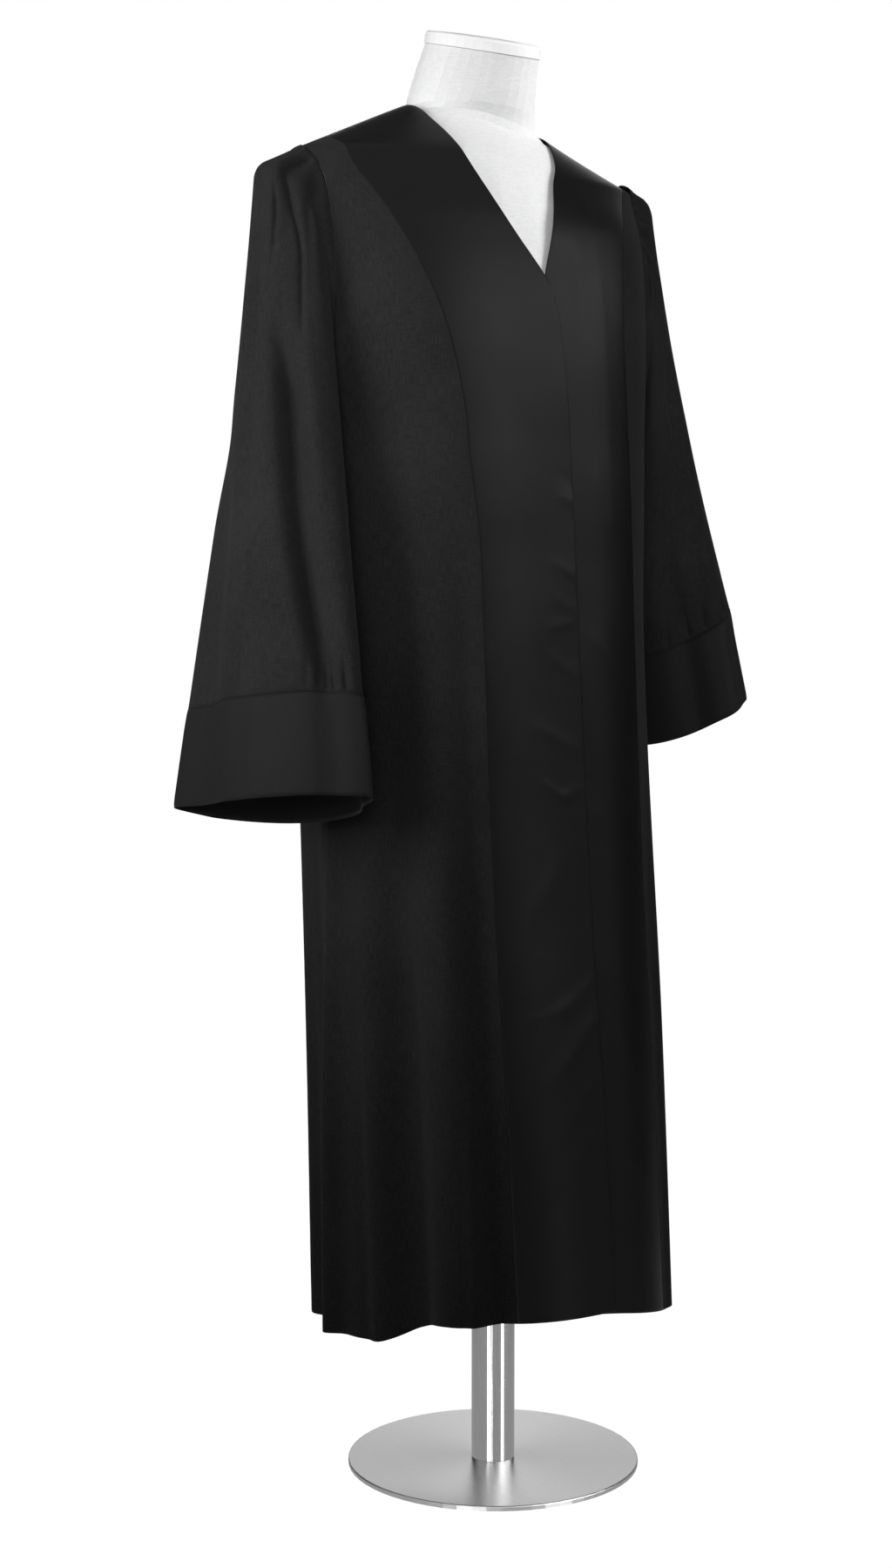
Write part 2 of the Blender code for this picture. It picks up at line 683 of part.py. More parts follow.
def sleeve_form(end):
    """The smooth sleeve as a grid: out over the head, round its turn and straight to the cuff."""
    ring, round_place = sleeve_ring()
    foot = sleeve_end(round_place, end)
    top = np.cos(round_place * math.pi / 2) ** 2
    fall = np.radians(UNDERARM_FALL + (HEAD_FALL - UNDERARM_FALL) * top)
    reach = UNDERARM_REACH + (end["head_reach"] - UNDERARM_REACH) * top**2
    spread = HEAD_SPREAD * np.sin(round_place * math.pi)
    outward = np.stack([-np.cos(fall), -spread, -np.sin(fall)], axis=-1)
    outward /= np.linalg.norm(outward, axis=-1, keepdims=True)
    start = ring + outward * SEAM_STEP
    bend = ring + outward * (HEAD_STRAIGHT * reach)[:, None]
    corner = ring + outward * reach[:, None]
    down = (foot - corner) / np.linalg.norm(foot - corner, axis=-1, keepdims=True)
    arm = corner + down * HEAD_TURN
    cuff = foot - down * CUFF_LENGTH
    hang = np.array([end["hang"], 0.0, 0.0])
    rows = [start + (bend - start) * s for s in np.arange(HEAD_ROWS) / HEAD_ROWS]
    for s in np.arange(TURN_ROWS) / TURN_ROWS:
        rows.append(bend * (1 - s) ** 2 + corner * 2 * s * (1 - s) + arm * s**2)
    for s in np.arange(ARM_ROWS) / ARM_ROWS:
        rows.append(arm + (cuff - arm) * s + hang * math.sin(math.pi * s))
    for s in np.linspace(0.0, 1.0, CUFF_ROWS + 1):
        rows.append(cuff + (foot - cuff) * s)
    return np.array(rows), round_place


def tube_normals(points):
    """Outward directions on a closed tube of points that winds down and round by its front."""
    around = np.roll(points, -1, axis=1) - np.roll(points, 1, axis=1)
    along = np.gradient(points, axis=0)
    normal = np.cross(along, around)
    return normal / np.linalg.norm(normal, axis=-1, keepdims=True)


def sleeve_fold_height(along, seam, round_place):
    """Pleats from the head, long hanging folds and the small gathers over the cuff."""
    total = np.zeros((len(along), len(round_place)))
    s = along[:, None]
    for place_round, depth, length in HEAD_PLEATS:
        away = (round_place - place_round + 1.0) % 2.0 - 1.0
        fade = smooth_step(s / HEAD_PLEAT_RISE) * (1 - smooth_step(s / length))
        total -= depth * fade * np.exp(-((away / HEAD_PLEAT_WIDTH) ** 2))
    for head, foot, start, end, width, depth in SLEEVE_FOLDS:
        middle = head + (foot - head) * np.clip((s - start) / (end - start), 0.0, 1.0)
        away = (round_place - middle + 1.0) % 2.0 - 1.0
        fade = smooth_step((s - start) / SLEEVE_FOLD_START) * smooth_step((end - s) / SLEEVE_FOLD_END)
        total += depth * fade * np.exp(-((away / width) ** 2))
    for place_round, depth in CUFF_GATHERS:
        away = (round_place - place_round + 1.0) % 2.0 - 1.0
        fade = smooth_step((s - seam + CUFF_GATHER_LENGTH) / CUFF_GATHER_LENGTH) * (s <= seam)
        total -= depth * fade * np.exp(-((away / CUFF_GATHER_WIDTH) ** 2))
    return total


def make_sleeve(side):
    """One sleeve and its cuff. The left ones are mirrored from places on the right."""
    smooth, round_place = sleeve_form(SLEEVE_ENDS[side])
    lengths = np.linalg.norm(np.diff(smooth, axis=0), axis=-1).mean(axis=1)
    along = np.concatenate([[0.0], np.cumsum(lengths)]) / lengths.sum()
    seam = HEAD_ROWS + TURN_ROWS + ARM_ROWS
    normals = tube_normals(smooth)
    points = smooth + normals * sleeve_fold_height(along, along[seam], round_place)[..., None]
    sleeve = points[: seam + 1]
    cuff = points[seam:] + normals[seam:] * CUFF_LIFT
    if side == "left":
        flip = np.array([-1.0, 1.0, 1.0])
        sleeve = sleeve[:, ::-1] * flip
        cuff = cuff[:, ::-1] * flip
    cloth(f"sleeve_{side}", inset(sleeve, closed=True), "wool", closed=True)
    cloth(f"cuff_{side}", inset(cuff, closed=True), "satin", closed=True)


def oval(half, centre_y, front, back, height, tilt=0.0):
    """A ring of points of the dress form, tilted forward about its own middle."""
    angle = np.linspace(0.0, 2 * math.pi, TORSO_COLUMNS, endpoint=False)
    x = half * np.cos(angle)
    y = np.where(np.sin(angle) < 0, front, back) * np.sin(angle)
    slope = math.radians(tilt)
    return np.stack([x, centre_y + y * math.cos(slope), height + y * math.sin(slope)], axis=-1)


def make_torso():
    """The limbless torso: hips and waist, then the robe's own form drawn in, then the neck."""
    rings = [oval(half, y, front, back, height) for height, half, y, front, back in TORSO_SECTIONS]
    turns = np.linspace(0.0, 360.0, TORSO_COLUMNS, endpoint=False)
    for height in TORSO_BODY_HEIGHTS:
        ring = body_surface(turns, height)
        middle = np.array([0.0, RIDGE_Y(height), height])
        outward = (ring - middle) / np.linalg.norm(ring - middle, axis=-1, keepdims=True)
        rings.append(ring - outward * TORSO_CLEARANCE)
    for height, half, y, front, back, tilt, lean in NECK_SECTIONS:
        ring = oval(half, y, front, back, height, tilt)
        ring[:, 2] += lean * shoulder_lean(ring[:, 0], height)
        rings.append(ring)
    loft("form_torso", rings, "linen")


def make_cap():
    """The smooth lid on the neck, turned and then tilted with the neck's top."""
    height, _, centre_y, _, _, tilt, _ = NECK_SECTIONS[-1]
    corner = [(math.sin(a), math.cos(a)) for a in np.radians((0, 30, 60, 90))]
    inner = CAP_RADIUS - CAP_EDGE
    shoulder = CAP_THICKNESS - CAP_EDGE
    profile = [(0.0, CAP_THICKNESS + CAP_DOME), (inner * 0.55, CAP_THICKNESS + 0.7 * CAP_DOME)]
    profile += [(inner + CAP_EDGE * x, shoulder + CAP_EDGE * z) for x, z in corner]
    profile += [(CAP_RADIUS, 0.0), (0.0, 0.0)]
    obj = turned("neck_cap", profile, "cap", steps=CAP_STEPS)
    obj.rotation_euler = (math.radians(tilt), 0.0, 0.0)
    slope = math.radians(tilt)
    obj.location = (0.0, centre_y - CAP_GAP * math.sin(slope), height + CAP_GAP * math.cos(slope))


def make_stand():
    """The round foot and the pole up to the torso."""
    edge = DISC_EDGE
    corner = [(math.sin(a), math.cos(a)) for a in np.radians((0, 45, 90))]
    profile = [(0.0, DISC_THICKNESS)]
    profile += [(DISC_RADIUS - edge + edge * x, DISC_THICKNESS - edge + edge * z) for x, z in corner]
    profile += [(DISC_RADIUS, 0.0), (0.0, 0.0)]
    turned("base_disc", profile, "steel", steps=DISC_STEPS)
    foot = DISC_THICKNESS + REST_GAP
    length = TORSO_FOOT - REST_GAP - foot
    bpy.ops.mesh.primitive_cylinder_add(
        vertices=48, radius=POLE_DIAMETER / 2, depth=length, location=(0.0, 0.0, foot + length / 2)
    )
    pole = bpy.context.object
    pole.name = "pole"
    for collection in list(pole.users_collection):
        collection.objects.unlink(pole)
    place(pole, "steel")
    pole.data.set_sharp_from_angle(angle=math.radians(50))


def main():
    for obj in list(bpy.data.objects):
        bpy.data.objects.remove(obj)
    collection = bpy.data.collections.new(COLLECTION)
    bpy.context.scene.collection.children.link(collection)
    make_bands()
    make_fronts()
    make_back_band()
    make_back()
    make_sleeve("right")
    make_sleeve("left")
    make_torso()
    make_cap()
    make_stand()


main()
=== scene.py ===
"""Looks of the court clerk robe on its dress form: cloth shells on the solids' own form, with
their creases and seams, and procedural wool, satin, linen and brushed steel.

Lengths are in metres, but the depths of folds, creases, gathers and pleats in millimetres. In the
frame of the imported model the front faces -Y and the wearer's right is -X. A place on the robe's
body is a turn, in degrees round the body (0 at the wearer's left side, 90 at the centre back, 180
at the right side, -90 at the centre front), and a height above the floor.
"""

import math

import bpy
import numpy as np
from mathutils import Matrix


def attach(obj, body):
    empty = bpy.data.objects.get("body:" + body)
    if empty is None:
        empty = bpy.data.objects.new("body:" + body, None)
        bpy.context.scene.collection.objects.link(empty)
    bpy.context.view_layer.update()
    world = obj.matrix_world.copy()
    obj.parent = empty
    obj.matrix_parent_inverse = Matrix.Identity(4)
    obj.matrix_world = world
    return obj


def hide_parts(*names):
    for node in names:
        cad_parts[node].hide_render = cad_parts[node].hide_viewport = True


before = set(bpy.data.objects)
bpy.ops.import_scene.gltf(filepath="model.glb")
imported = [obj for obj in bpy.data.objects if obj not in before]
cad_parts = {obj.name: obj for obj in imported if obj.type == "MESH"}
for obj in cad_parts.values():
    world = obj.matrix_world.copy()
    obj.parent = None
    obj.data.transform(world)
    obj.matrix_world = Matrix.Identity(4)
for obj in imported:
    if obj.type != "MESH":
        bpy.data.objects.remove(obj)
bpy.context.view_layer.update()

# Camera and light
CAMERA_PLACE = (-1.5828, -2.1004, 0.9187)
CAMERA_PITCH = 4.176
CAMERA_HEADING = 35.904
LENS = 57.52
SENSOR_WIDTH = 36.0
LAMPS = (
    # name, place, target, size, spread, power
    ("key", (-1.62, 0.12, 1.4), (-0.12, -0.02, 1.1), 0.9, 60.0, 2.7),
    ("front", (-1.25, -1.75, 1.56), (-0.04, -0.05, 1.27), 1.1, 34.0, 1.9),
)
# A soft light from the wearer's left that reaches the dress form alone
FORM_LAMP = ("form", (1.35, -1.05, 1.7), (0.0, 0.0, 1.4), 1.2, 180.0, 40.0)
FILL_LIGHT = 0.09
FLOOR_RADIUS = 30.0
FLOOR_CORNERS = 64
FLOOR_COLOUR = (0.3, 0.3, 0.3, 1.0)
WHITE = (1.0, 1.0, 1.0, 1.0)

# The room that the steel and the satin mirror, by the way looked along. Heights run from -1
# straight down to 1 straight up. The room is grey, with a paler foot and ceiling, and it darkens
# towards the back, where one wall is bright.
LOW_ROOM = 0.42
LOW_ROOM_HEIGHTS = (-0.28, -0.25)
FOOT_ROOM = 0.38
FRONT_ROOM = 0.14
FRONT_ROOM_HEIGHTS = (-0.2, 0.14)
CEILING = 0.48
CEILING_HEIGHTS = (0.14, 0.4)
BACK_WAY = (0.6, 0.8, 0.0)
BACK_SHADE = 0.15
BACK_SHADE_COSINES = (-0.1, 0.35)
BACK_WALL = 1.15
BACK_WALL_COSINES = (0.8, 0.92)
BACK_WALL_HEIGHTS = (0.18, 0.26, 0.4, 0.48)
# Bright strips, each above and below the level alike, and a bright window before the wearer
PATCH_LEVEL = 5.0
STRIP_HEIGHTS = (0.26, 0.28, 0.36, 0.38)
STRIPS = (
    # way, outer_angle, inner_angle
    ((-0.819, -0.574, 0), 9, 7.2),
    ((0.276, -0.961, 0), 7, 5.6),
)
WINDOW_HEIGHTS = (0.24, 0.28, 0.31, 0.4)
WINDOW = ((0.53, -0.85, 0), 50, 26)

# Materials. Texture scales go by the metre, and each cloth's bump and ripple are in metres.
STREAK_SCALE = 1500.0
STREAK_DETAIL = 2.0
STREAK_ROUGHNESS = 0.6
WARP_STRETCH = (1.0, 0.05, 1.0)
WEFT_STRETCH = (0.06, 1.0, 1.0)
WEFT_SHARE = 0.45
WEAVE_HEIGHT = 0.25
CLOUD_SCALE = 9.0
CLOUD_DETAIL = 3.0
CLOUD_SHARE = 0.2
RIPPLE_SCALE = 11.0
CLOTH_TONES = (0.3, 0.7)
CLOTH_UNEVENNESS = 0.02
SHEEN_ROUGHNESS = 0.45
WOVEN = {
    "wool": dict(
        dark=(0.0095, 0.0095, 0.01), light=(0.04, 0.04, 0.041), roughness=0.85,
        threads=520, bump=0.0002, ripple=0.0008, sheen=0.02, specular=0.1,
    ),
    "satin": dict(
        dark=(0.0055, 0.0055, 0.0058), light=(0.0085, 0.0085, 0.0088), roughness=0.31,
        threads=900, bump=0.00006, ripple=0.0014, sheen=0, specular=0.17,
    ),
    "cuff": dict(
        dark=(0.018, 0.018, 0.0185), light=(0.026, 0.026, 0.0265), roughness=0.52,
        threads=900, bump=0.00006, ripple=0.0016, sheen=0, specular=0.09,
    ),
}
LINEN_COLOURS = ((0.63, 0.63, 0.635), (0.75, 0.75, 0.755))
LINEN_STRETCHES = ((1.0, 1.0, 0.08), (0.08, 0.08, 1.0))
CAP_COLOURS = ((0.79, 0.79, 0.79), (0.84, 0.84, 0.84))
CAP_SCALE = 40.0
CAP_ROUGHNESS = (0.42, 0.55)
BRUSH_SCALE = 900.0
BRUSH_DETAIL = 3.0
BRUSH_DARKNESS = 0.88
BRUSH_ROUGHNESS = (-0.05, 0.07)
LINE_TONES = (0.35, 0.65)
# Strength and height of the relief
LINEN_RELIEF = (0.6, 0.0004)
CAP_RELIEF = (0.2, 0.0005)
BRUSH_RELIEF = (0.25, 0.0001)
STEELS = {
    "disc": dict(stretch=(1.0, 0.03, 1.0), colour=(0.84, 0.84, 0.845), roughness=0.3, grain=0.3),
    "pole": dict(stretch=(1.0, 1.0, 0.03), colour=(0.62, 0.62, 0.625), roughness=0.12, grain=0.2),
}
FINISHES = {"form_torso": "linen", "neck_cap": "cap", "base_disc": "disc", "pole": "pole"}

# Cloth and seams
MM = 0.001
SIDES = ("right", "left")
WALL = 0.0012
SEAM_INSET = 0.00002
OVERLAP_DROP = 0.0024
ROLL_WIDTH = 0.0018
ROLL_DEPTH = 0.0003

# Shoulders: the seam falls in a straight line from the neck to the armhole
NECK_X = 0.0815
NECK_HEIGHT = 1.419
ARMHOLE_X = 0.206
SHOULDER_RUN = 2.45
SHOULDER_ROUNDING = 0.006
SHOULDER_LEAN = 0.008
LEAN_START = 1.28
LEAN_END = 1.38

# Body, from section to section: half_width at the side, ridge_y of the side and shoulder line,
# depths in front of and behind it, and how square the front and back are (2 is an ellipse)
BODY_SECTIONS = (
    # height, half_width, ridge_y, front_depth, back_depth, front_power, back_power
    (0.120, 0.1665, 0.019, 0.209, 0.198, 2.4, 2.0),
    (0.165, 0.1670, 0.020, 0.206, 0.198, 2.4, 2.0),
    (0.400, 0.1690, 0.024, 0.188, 0.198, 2.4, 2.0),
    (0.660, 0.1725, 0.030, 0.166, 0.198, 2.4, 2.0),
    (0.880, 0.1790, 0.036, 0.155, 0.183, 2.4, 2.1),
    (1.000, 0.1870, 0.040, 0.150, 0.168, 2.4, 2.2),
    (1.100, 0.1970, 0.044, 0.146, 0.148, 2.3, 2.2),
    (1.200, 0.2070, 0.045, 0.138, 0.128, 2.2, 2.1),
    (1.300, 0.2130, 0.045, 0.121, 0.112, 2.0, 2.0),
    (1.360, 0.2140, 0.045, 0.094, 0.092, 1.7, 2.0),
    (1.400, 0.2140, 0.044, 0.065, 0.080, 1.6, 2.0),
    (1.440, 0.2140, 0.042, 0.038, 0.068, 1.6, 2.0),
)

# Cut edges of the fronts, as places across from the centre on each piece's own side. Below the
# point of the neck both edges run past the centre, for the overlap.
FRONT_EDGES = (
    # height, right_x, left_x
    (1.419, 0.0815, 0.0815), (1.404, 0.081, 0.073), (1.3815, 0.0745, 0.059),
    (1.3515, 0.065, 0.0375), (1.3185, 0.05, 0.024), (1.285, 0.029, 0.013), (1.245, 0, 0),
    (1.234, -0.006, -0.002), (1.19, -0.015, -0.004), (1.1, -0.0195, -0.004),
)
BAND_EDGES = (
    # height, right_x, left_x
    (1.3768, 0.182, 0.182), (1.356, 0.18, 0.164), (1.3175, 0.164, 0.139), (1.272, 0.143, 0.123),
    (1.202, 0.118, 0.112), (1.15, 0.107, 0.111), (1.1, 0.1, 0.112),
)
EDGE_FOOT_X = {"right": 0.019, "left": 0.004}
# Where the left band dips under the right one
DIP_START_X = 0.061
DIP_END_X = 0.025
DIP_RISE = 0.05
DIP_LENGTH = 0.04
BAND_FOOT_X = {"right": 0.0915, "left": 0.112}
BAND_STRAIGHT_HEIGHT = 0.95

# Armholes and side seams
UNDERARM_HEIGHT = 1.1
ARMHOLE_FRONT = 0.048
ARMHOLE_BACK = 0.05
SIDE_SEAM = (
    # height, degrees behind the side
    (0.12, -11), (0.2, -9.5), (0.33, -5), (0.46, 0.5), (0.585, 10), (0.69, 17), (0.85, 17),
    (1, 8), (1.1, 0),
)

# Back neck and its band
BACK_NECK_DROP = 0.012
BACK_BAND_DROP = 0.042
BACK_BAND_POWER = 1.5

# The hem, which is a little lower on the left of the front than on the right
HEM_SIDE = 0.16
HEM_HEIGHTS = (
    # turn, height
    (-180, 0.16), (-170, 0.165), (-158, 0.184), (-140, 0.2), (-100, 0.202), (-78, 0.198),
    (-60, 0.184), (-45, 0.175), (-10, 0.165), (0, 0.16), (45, 0.15), (90, 0.146), (135, 0.15),
    (180, 0.16),
)

# Hanging folds of the body. A positive depth is a ridge and a negative one a valley. Widths here
# are in degrees, and each fold's foot_turn is its turn at FOLD_FOOT.
BODY_FOLDS = (
    # top_turn, foot_turn, top_height, width, depth
    (-123, -125, 1.1, 4.5, -5), (-139, -146, 1.16, 7, 6), (-131, -131, 0.6, 4.5, 5),
    (-160, -163, 0.95, 6, -9), (-174, -176, 0.7, 5, 4), (171, 170, 0.75, 7, 7),
    (157, 156, 0.95, 7, -10), (141, 142, 1.16, 8, 7), (125, 125, 1.06, 8, -12),
    (110, 108, 1.18, 7.5, 12), (95, 92, 1.02, 8, -13), (79, 77, 1.17, 7, 11),
    (63, 61, 1.05, 8, -13), (47, 46, 1.14, 8, 13), (29, 28, 0.92, 8.5, -11), (12, 10, 0.8, 7, 8),
    (-10, -12, 0.9, 8, -7), (-36, -38, 1.02, 9, 4),
)
FOLD_FOOT = 0.1
FOLD_FADE = 0.45

# Finer folds of the skirt, which the solids leave out
FINE_FOLDS = (
    # top_turn, foot_turn, top_height, width, depth
    (-129.5, -133.5, 0.66, 1.7, 3), (-134, -138.5, 1.04, 8, 17.5), (-156, -155, 0.9, 7, -16),
    (-170, -170, 0.8, 5, 7), (-175, -174, 0.66, 3.4, -6), (176, 171, 0.84, 3.6, 11),
    (164, 163, 0.84, 3.2, -6), (148, 149, 0.76, 3, -5), (133, 132, 0.9, 2.8, 5),
    (117, 116, 0.82, 2.8, 4.6), (102, 101, 0.88, 3, 4.2), (86, 85, 0.84, 3, -4.4),
    (70, 69, 0.9, 2.8, 4.6), (55, 53, 0.78, 3, 4.6), (38, 36, 0.86, 3, -5),
    (20, 19, 0.74, 3.2, -5), (2, 1, 0.8, 3.4, 7), (-18, -20, 0.84, 5.6, -10),
    (-38, -39, 0.92, 5, 6), (-27, -29, 0.62, 2.2, 3),
)
# Puckers along the side seams, below the underarm, in waves of uneven length
PUCKER_DEPTH = 0.7
PUCKER_STEP = 0.019
PUCKER_SHIFT = 2.5
PUCKER_SHIFT_RATE = 23.0
PUCKER_WIDTH = 3.2
PUCKER_START = 0.1
# Small gathers of the back where it hangs from its band
GATHER_RISE = 0.014
GATHER_LENGTH = 0.2
GATHER_WIDTH = 2.4
BACK_GATHERS = (
    # turn, depth
    (30, 2.6), (39, 3.4), (47, 3), (56, 3.8), (64, 3), (73, 3.6), (82, 2.8), (91, 3.6), (99, 3),
    (108, 3.6), (117, 3), (125, 3.8), (134, 3), (142, 3.4), (150, 2.6),
)
# Short soft creases in the satin, with the dimple over the uppermost hidden button
BAND_CREASES = {
    # x, height, end_x, end_height, width, depth
    "right": (
        (0.012, 1.042, 0.018, 1.036, 0.0055, -0.36), (0.01, 1.022, 0.018, 1.018, 0.006, 0.4),
        (-0.005, 0.955, 0.013, 0.946, 0.005, 0.32), (-0.006, 0.921, 0.012, 0.909, 0.0045, 0.32),
        (-0.01, 0.894, 0.01, 0.898, 0.004, 0.32), (-0.014, 0.86, 0.004, 0.848, 0.006, 0.32),
        (-0.031, 0.734, -0.01, 0.722, 0.004, 0.48), (-0.01, 0.722, 0.007, 0.728, 0.004, 0.4),
        (-0.034, 0.79, 0.004, 0.772, 0.007, 0.32), (0.008, 0.532, -0.025, 0.51, 0.007, 0.4),
        (-0.025, 0.51, -0.058, 0.502, 0.007, 0.32), (0.008, 0.49, -0.047, 0.436, 0.008, 0.48),
        (0.006, 0.43, -0.034, 0.388, 0.008, 0.4), (0.006, 0.386, -0.05, 0.317, 0.009, 0.48),
        (-0.07, 1.215, -0.03, 1.12, 0.02, 0.4), (-0.03, 0.64, -0.06, 0.6, 0.012, 0.32),
    ),
    "left": (
        (0.052, 1.3, 0.05, 1.06, 0.008, -0.4), (0.076, 1.33, 0.074, 1, 0.009, 0.4),
        (0.04, 0.88, 0.07, 0.85, 0.008, 0.32), (0.036, 0.7, 0.08, 0.66, 0.009, 0.32),
        (0.03, 0.5, 0.07, 0.44, 0.009, 0.4), (0.034, 0.38, 0.078, 0.33, 0.008, 0.4),
    ),
}

# Sleeves. Positions round a sleeve run from 0 at the top and the outer side, over the front,
# to 1 under the arm, and over the back to -1. Positions along it run from 0 at the armhole to
# 1 at the cuff's edge.
CUFF_LENGTH = 0.1
CUFF_LIFT = 0.0005
SEAM_STEP = 0.00012
UNDERARM_REACH = 0.012
HEAD_FALL = 23.0
UNDERARM_FALL = 52.0
HEAD_STRAIGHT = 0.76
HEAD_SPREAD = 0.25
HEAD_TURN = 0.013
# The cuff's edge, with its heights at the outer side, the front, the inner side and the back
SLEEVE_ENDS = {
    "right": dict(
        centre_x=0.27, centre_y=0, long=0.115, short=0.06, turn=15,
        heights=(0.726, 0.73, 0.696, 0.703), head_reach=0.047, hang=0,
    ),
    "left": dict(
        centre_x=0.303, centre_y=0.06, long=0.112, short=0.062, turn=8,
        heights=(0.822, 0.794, 0.757, 0.802), head_reach=0.031, hang=0.012,
    ),
}
# Narrow creases that fall from the armhole seam, each as places along its line
HEAD_CREASE_RISE = 0.01
HEAD_CREASE_FADE = 0.35
HEAD_CREASES = {
    # width, depth, places (along, round)
    "right": (
        (0.013, 7.5, ((0, 0.035), (0.036, 0.036), (0.117, 0.089), (0.29, 0.033))),
        (0.028, 6.6, ((0, 0.131), (0.031, 0.131), (0.148, 0.254), (0.35, 0.246))),
        (0.014, 3, ((0, -0.11), (0.06, -0.12), (0.19, -0.15))),
        (0.016, 3.4, ((0, -0.24), (0.08, -0.27), (0.24, -0.3))),
        (0.014, 3, ((0, -0.39), (0.07, -0.43), (0.2, -0.47))),
        (0.016, 2.6, ((0, -0.54), (0.06, -0.58), (0.18, -0.62))),
    ),
    "left": (
        (0.014, 4, ((0, 0.06), (0.04, 0.08), (0.2, 0.1))),
        (0.014, 5, ((0, 0.16), (0.03, 0.19), (0.24, 0.2))),
        (0.015, 6, ((0, 0.22), (0.044, 0.245), (0.26, 0.3))),
        (0.014, 6, ((0, 0.29), (0.013, 0.325), (0.28, 0.37))),
        (0.015, 6, ((0, 0.36), (0.062, 0.407), (0.3, 0.44))),
        (0.014, 5, ((0, 0.44), (0.06, 0.48), (0.24, 0.52))),
        (0.014, 3.2, ((0, -0.11), (0.06, -0.12), (0.19, -0.15))),
        (0.016, 3.4, ((0, -0.24), (0.08, -0.27), (0.24, -0.3))),
        (0.014, 3, ((0, -0.4), (0.07, -0.43), (0.2, -0.47))),
    ),
}
# The fold that runs down beside the front of the armhole seam
SEAM_FOLD = ((0.16, 0.008), (0.3, 0.021), (0.45, 0.034), (0.556, 0.038), (0.7, 0.016))
SEAM_FOLD_WIDTH = 0.01
SEAM_FOLD_DEPTH = 5
SEAM_FOLD_FADE = 0.12
# The long valley down the front of each sleeve, steeper on its outer side
LONG_VALLEYS = {
    # along, round
    "right": (
        (0.24, 0.12), (0.377, 0.164), (0.466, 0.182), (0.558, 0.208), (0.641, 0.247),
        (0.722, 0.288), (0.8, 0.33),
    ),
    "left": (
        (0.2, 0.4), (0.38, 0.44), (0.56, 0.48), (0.7, 0.52), (0.8, 0.56),
    ),
}
LONG_VALLEY_WIDTH = 0.048
LONG_VALLEY_FAR_WIDTH = 0.09
LONG_VALLEY_DEPTH = {"right": 21, "left": 8}
LONG_VALLEY_START = 0.16
# It loses most of its depth over the last stretch before the cuff
LONG_VALLEY_LOSS = 0.7
LONG_VALLEY_STOP = 0.1
LONG_VALLEY_END = 0.12
HEAD_PLEAT_WIDTH = 0.045
HEAD_PLEAT_RISE = 0.035
HEAD_PLEATS = (
    # round, depth, length
    (-0.5, 5, 0.2), (-0.333, 6.5, 0.26), (-0.167, 6, 0.22), (0, 4.5, 0.16), (0.167, 4, 0.26),
    (0.333, 2, 0.34), (0.5, 1.5, 0.3),
)
SLEEVE_FOLD_START = 0.25
SLEEVE_FOLD_END = 0.12
SLEEVE_FOLDS = (
    # head_round, foot_round, start, end, width, depth
    (0.26, 0.4, 0.2, 0.9, 0.08, 3), (0.44, 0.52, 0.34, 1.1, 0.08, 6),
    (0.72, 0.66, 0.45, 1.1, 0.08, -9), (-0.22, -0.16, 0.35, 1.1, 0.09, -9),
    (-0.42, -0.36, 0.3, 1.1, 0.09, 9), (-0.66, -0.58, 0.38, 1.1, 0.085, -10),
)
CUFF_GATHER_WIDTH = 0.013
CUFF_GATHER_LENGTH = 0.085
CUFF_GATHER_FOOT = 0.016
CUFF_GATHERS = (
    # round, depth
    (-0.78, 4), (-0.64, 5), (-0.556, 4), (-0.43, 4.3), (-0.222, 2.2), (0.25, 2.5), (0.3, 3.2),
    (0.336, 4), (0.372, 4.7), (0.43, 5.4), (0.556, 5), (0.667, 4.3), (0.778, 3.6),
)
CUFF_FOLD_START = 0.02
CUFF_FOLD_RISE = 0.06
CUFF_FOLDS = (
    # round, width, depth
    (-0.82, 0.08, 1.6), (-0.64, 0.07, -1.8), (-0.44, 0.08, 1.8), (-0.19, 0.06, 1.4),
    (-0.095, 0.04, -1.4), (0, 0.04, -1.2), (0.08, 0.06, 1.2), (0.25, 0.04, -0.5),
    (0.325, 0.02, 0.5), (0.38, 0.04, -0.8), (0.56, 0.07, 1.2), (0.76, 0.07, -1.6),
)

# Rows and columns of the grids
ARMHOLE_STEPS = (0.035,) * 10 + (0.08125,) * 8
EDGE_STEPS = (0.0, 0.0004, 0.0011, 0.0022)
BODICE_ROWS = 76
SKIRT_ROWS = 220
BAND_COLUMNS = 40
FRONT_COLUMNS = 64
BACK_COLUMNS = 150
BACK_BAND_ROWS = 14
SHOULDER_ROWS = 8
SLEEVE_COLUMNS = 216
HEAD_ROWS = 8
TURN_ROWS = 12
ARM_ROWS = 104
CUFF_ROWS = 22
LINE_SAMPLES = 600
SHOULDER_SAMPLES = 2001
# About how long each grid is, for the short steps at its edges
BODICE_SPAN = 0.7
SKIRT_SPAN = 1.86
FRONT_SPAN = 0.2
BAND_SPAN = 0.11
BACK_SPAN = 0.5
BACK_BAND_SPAN = 0.07
EDGE_CLEARANCE = 1.4


def smooth_curve(places, values):
    """A function through the values that stays smooth and doesn't overshoot between them."""
    places = np.asarray(places, float)
    values = np.asarray(values, float)
    steps = np.diff(places)
    slopes = np.diff(values) / steps
    tangents = np.zeros(len(places))
    tangents[0] = slopes[0]
    tangents[-1] = slopes[-1]
    for i, (before, after) in enumerate(zip(slopes[:-1], slopes[1:]), start=1):
        if before * after > 0:
            tangents[i] = 2 * before * after / (before + after)

    def at(place):
        place = np.clip(place, places[0], places[-1])
        i = np.clip(np.searchsorted(places, place, side="right") - 1, 0, len(steps) - 1)
        s = (place - places[i]) / steps[i]
        start = values[i] * (1 + 2 * s) + tangents[i] * steps[i] * s
        end = values[i + 1] * (3 - 2 * s) + tangents[i + 1] * steps[i] * (s - 1)
        return start * (1 - s) ** 2 + end * s**2

    return at


def smooth_step(value):
    value = np.clip(value, 0.0, 1.0)
    return value * value * (3 - 2 * value)


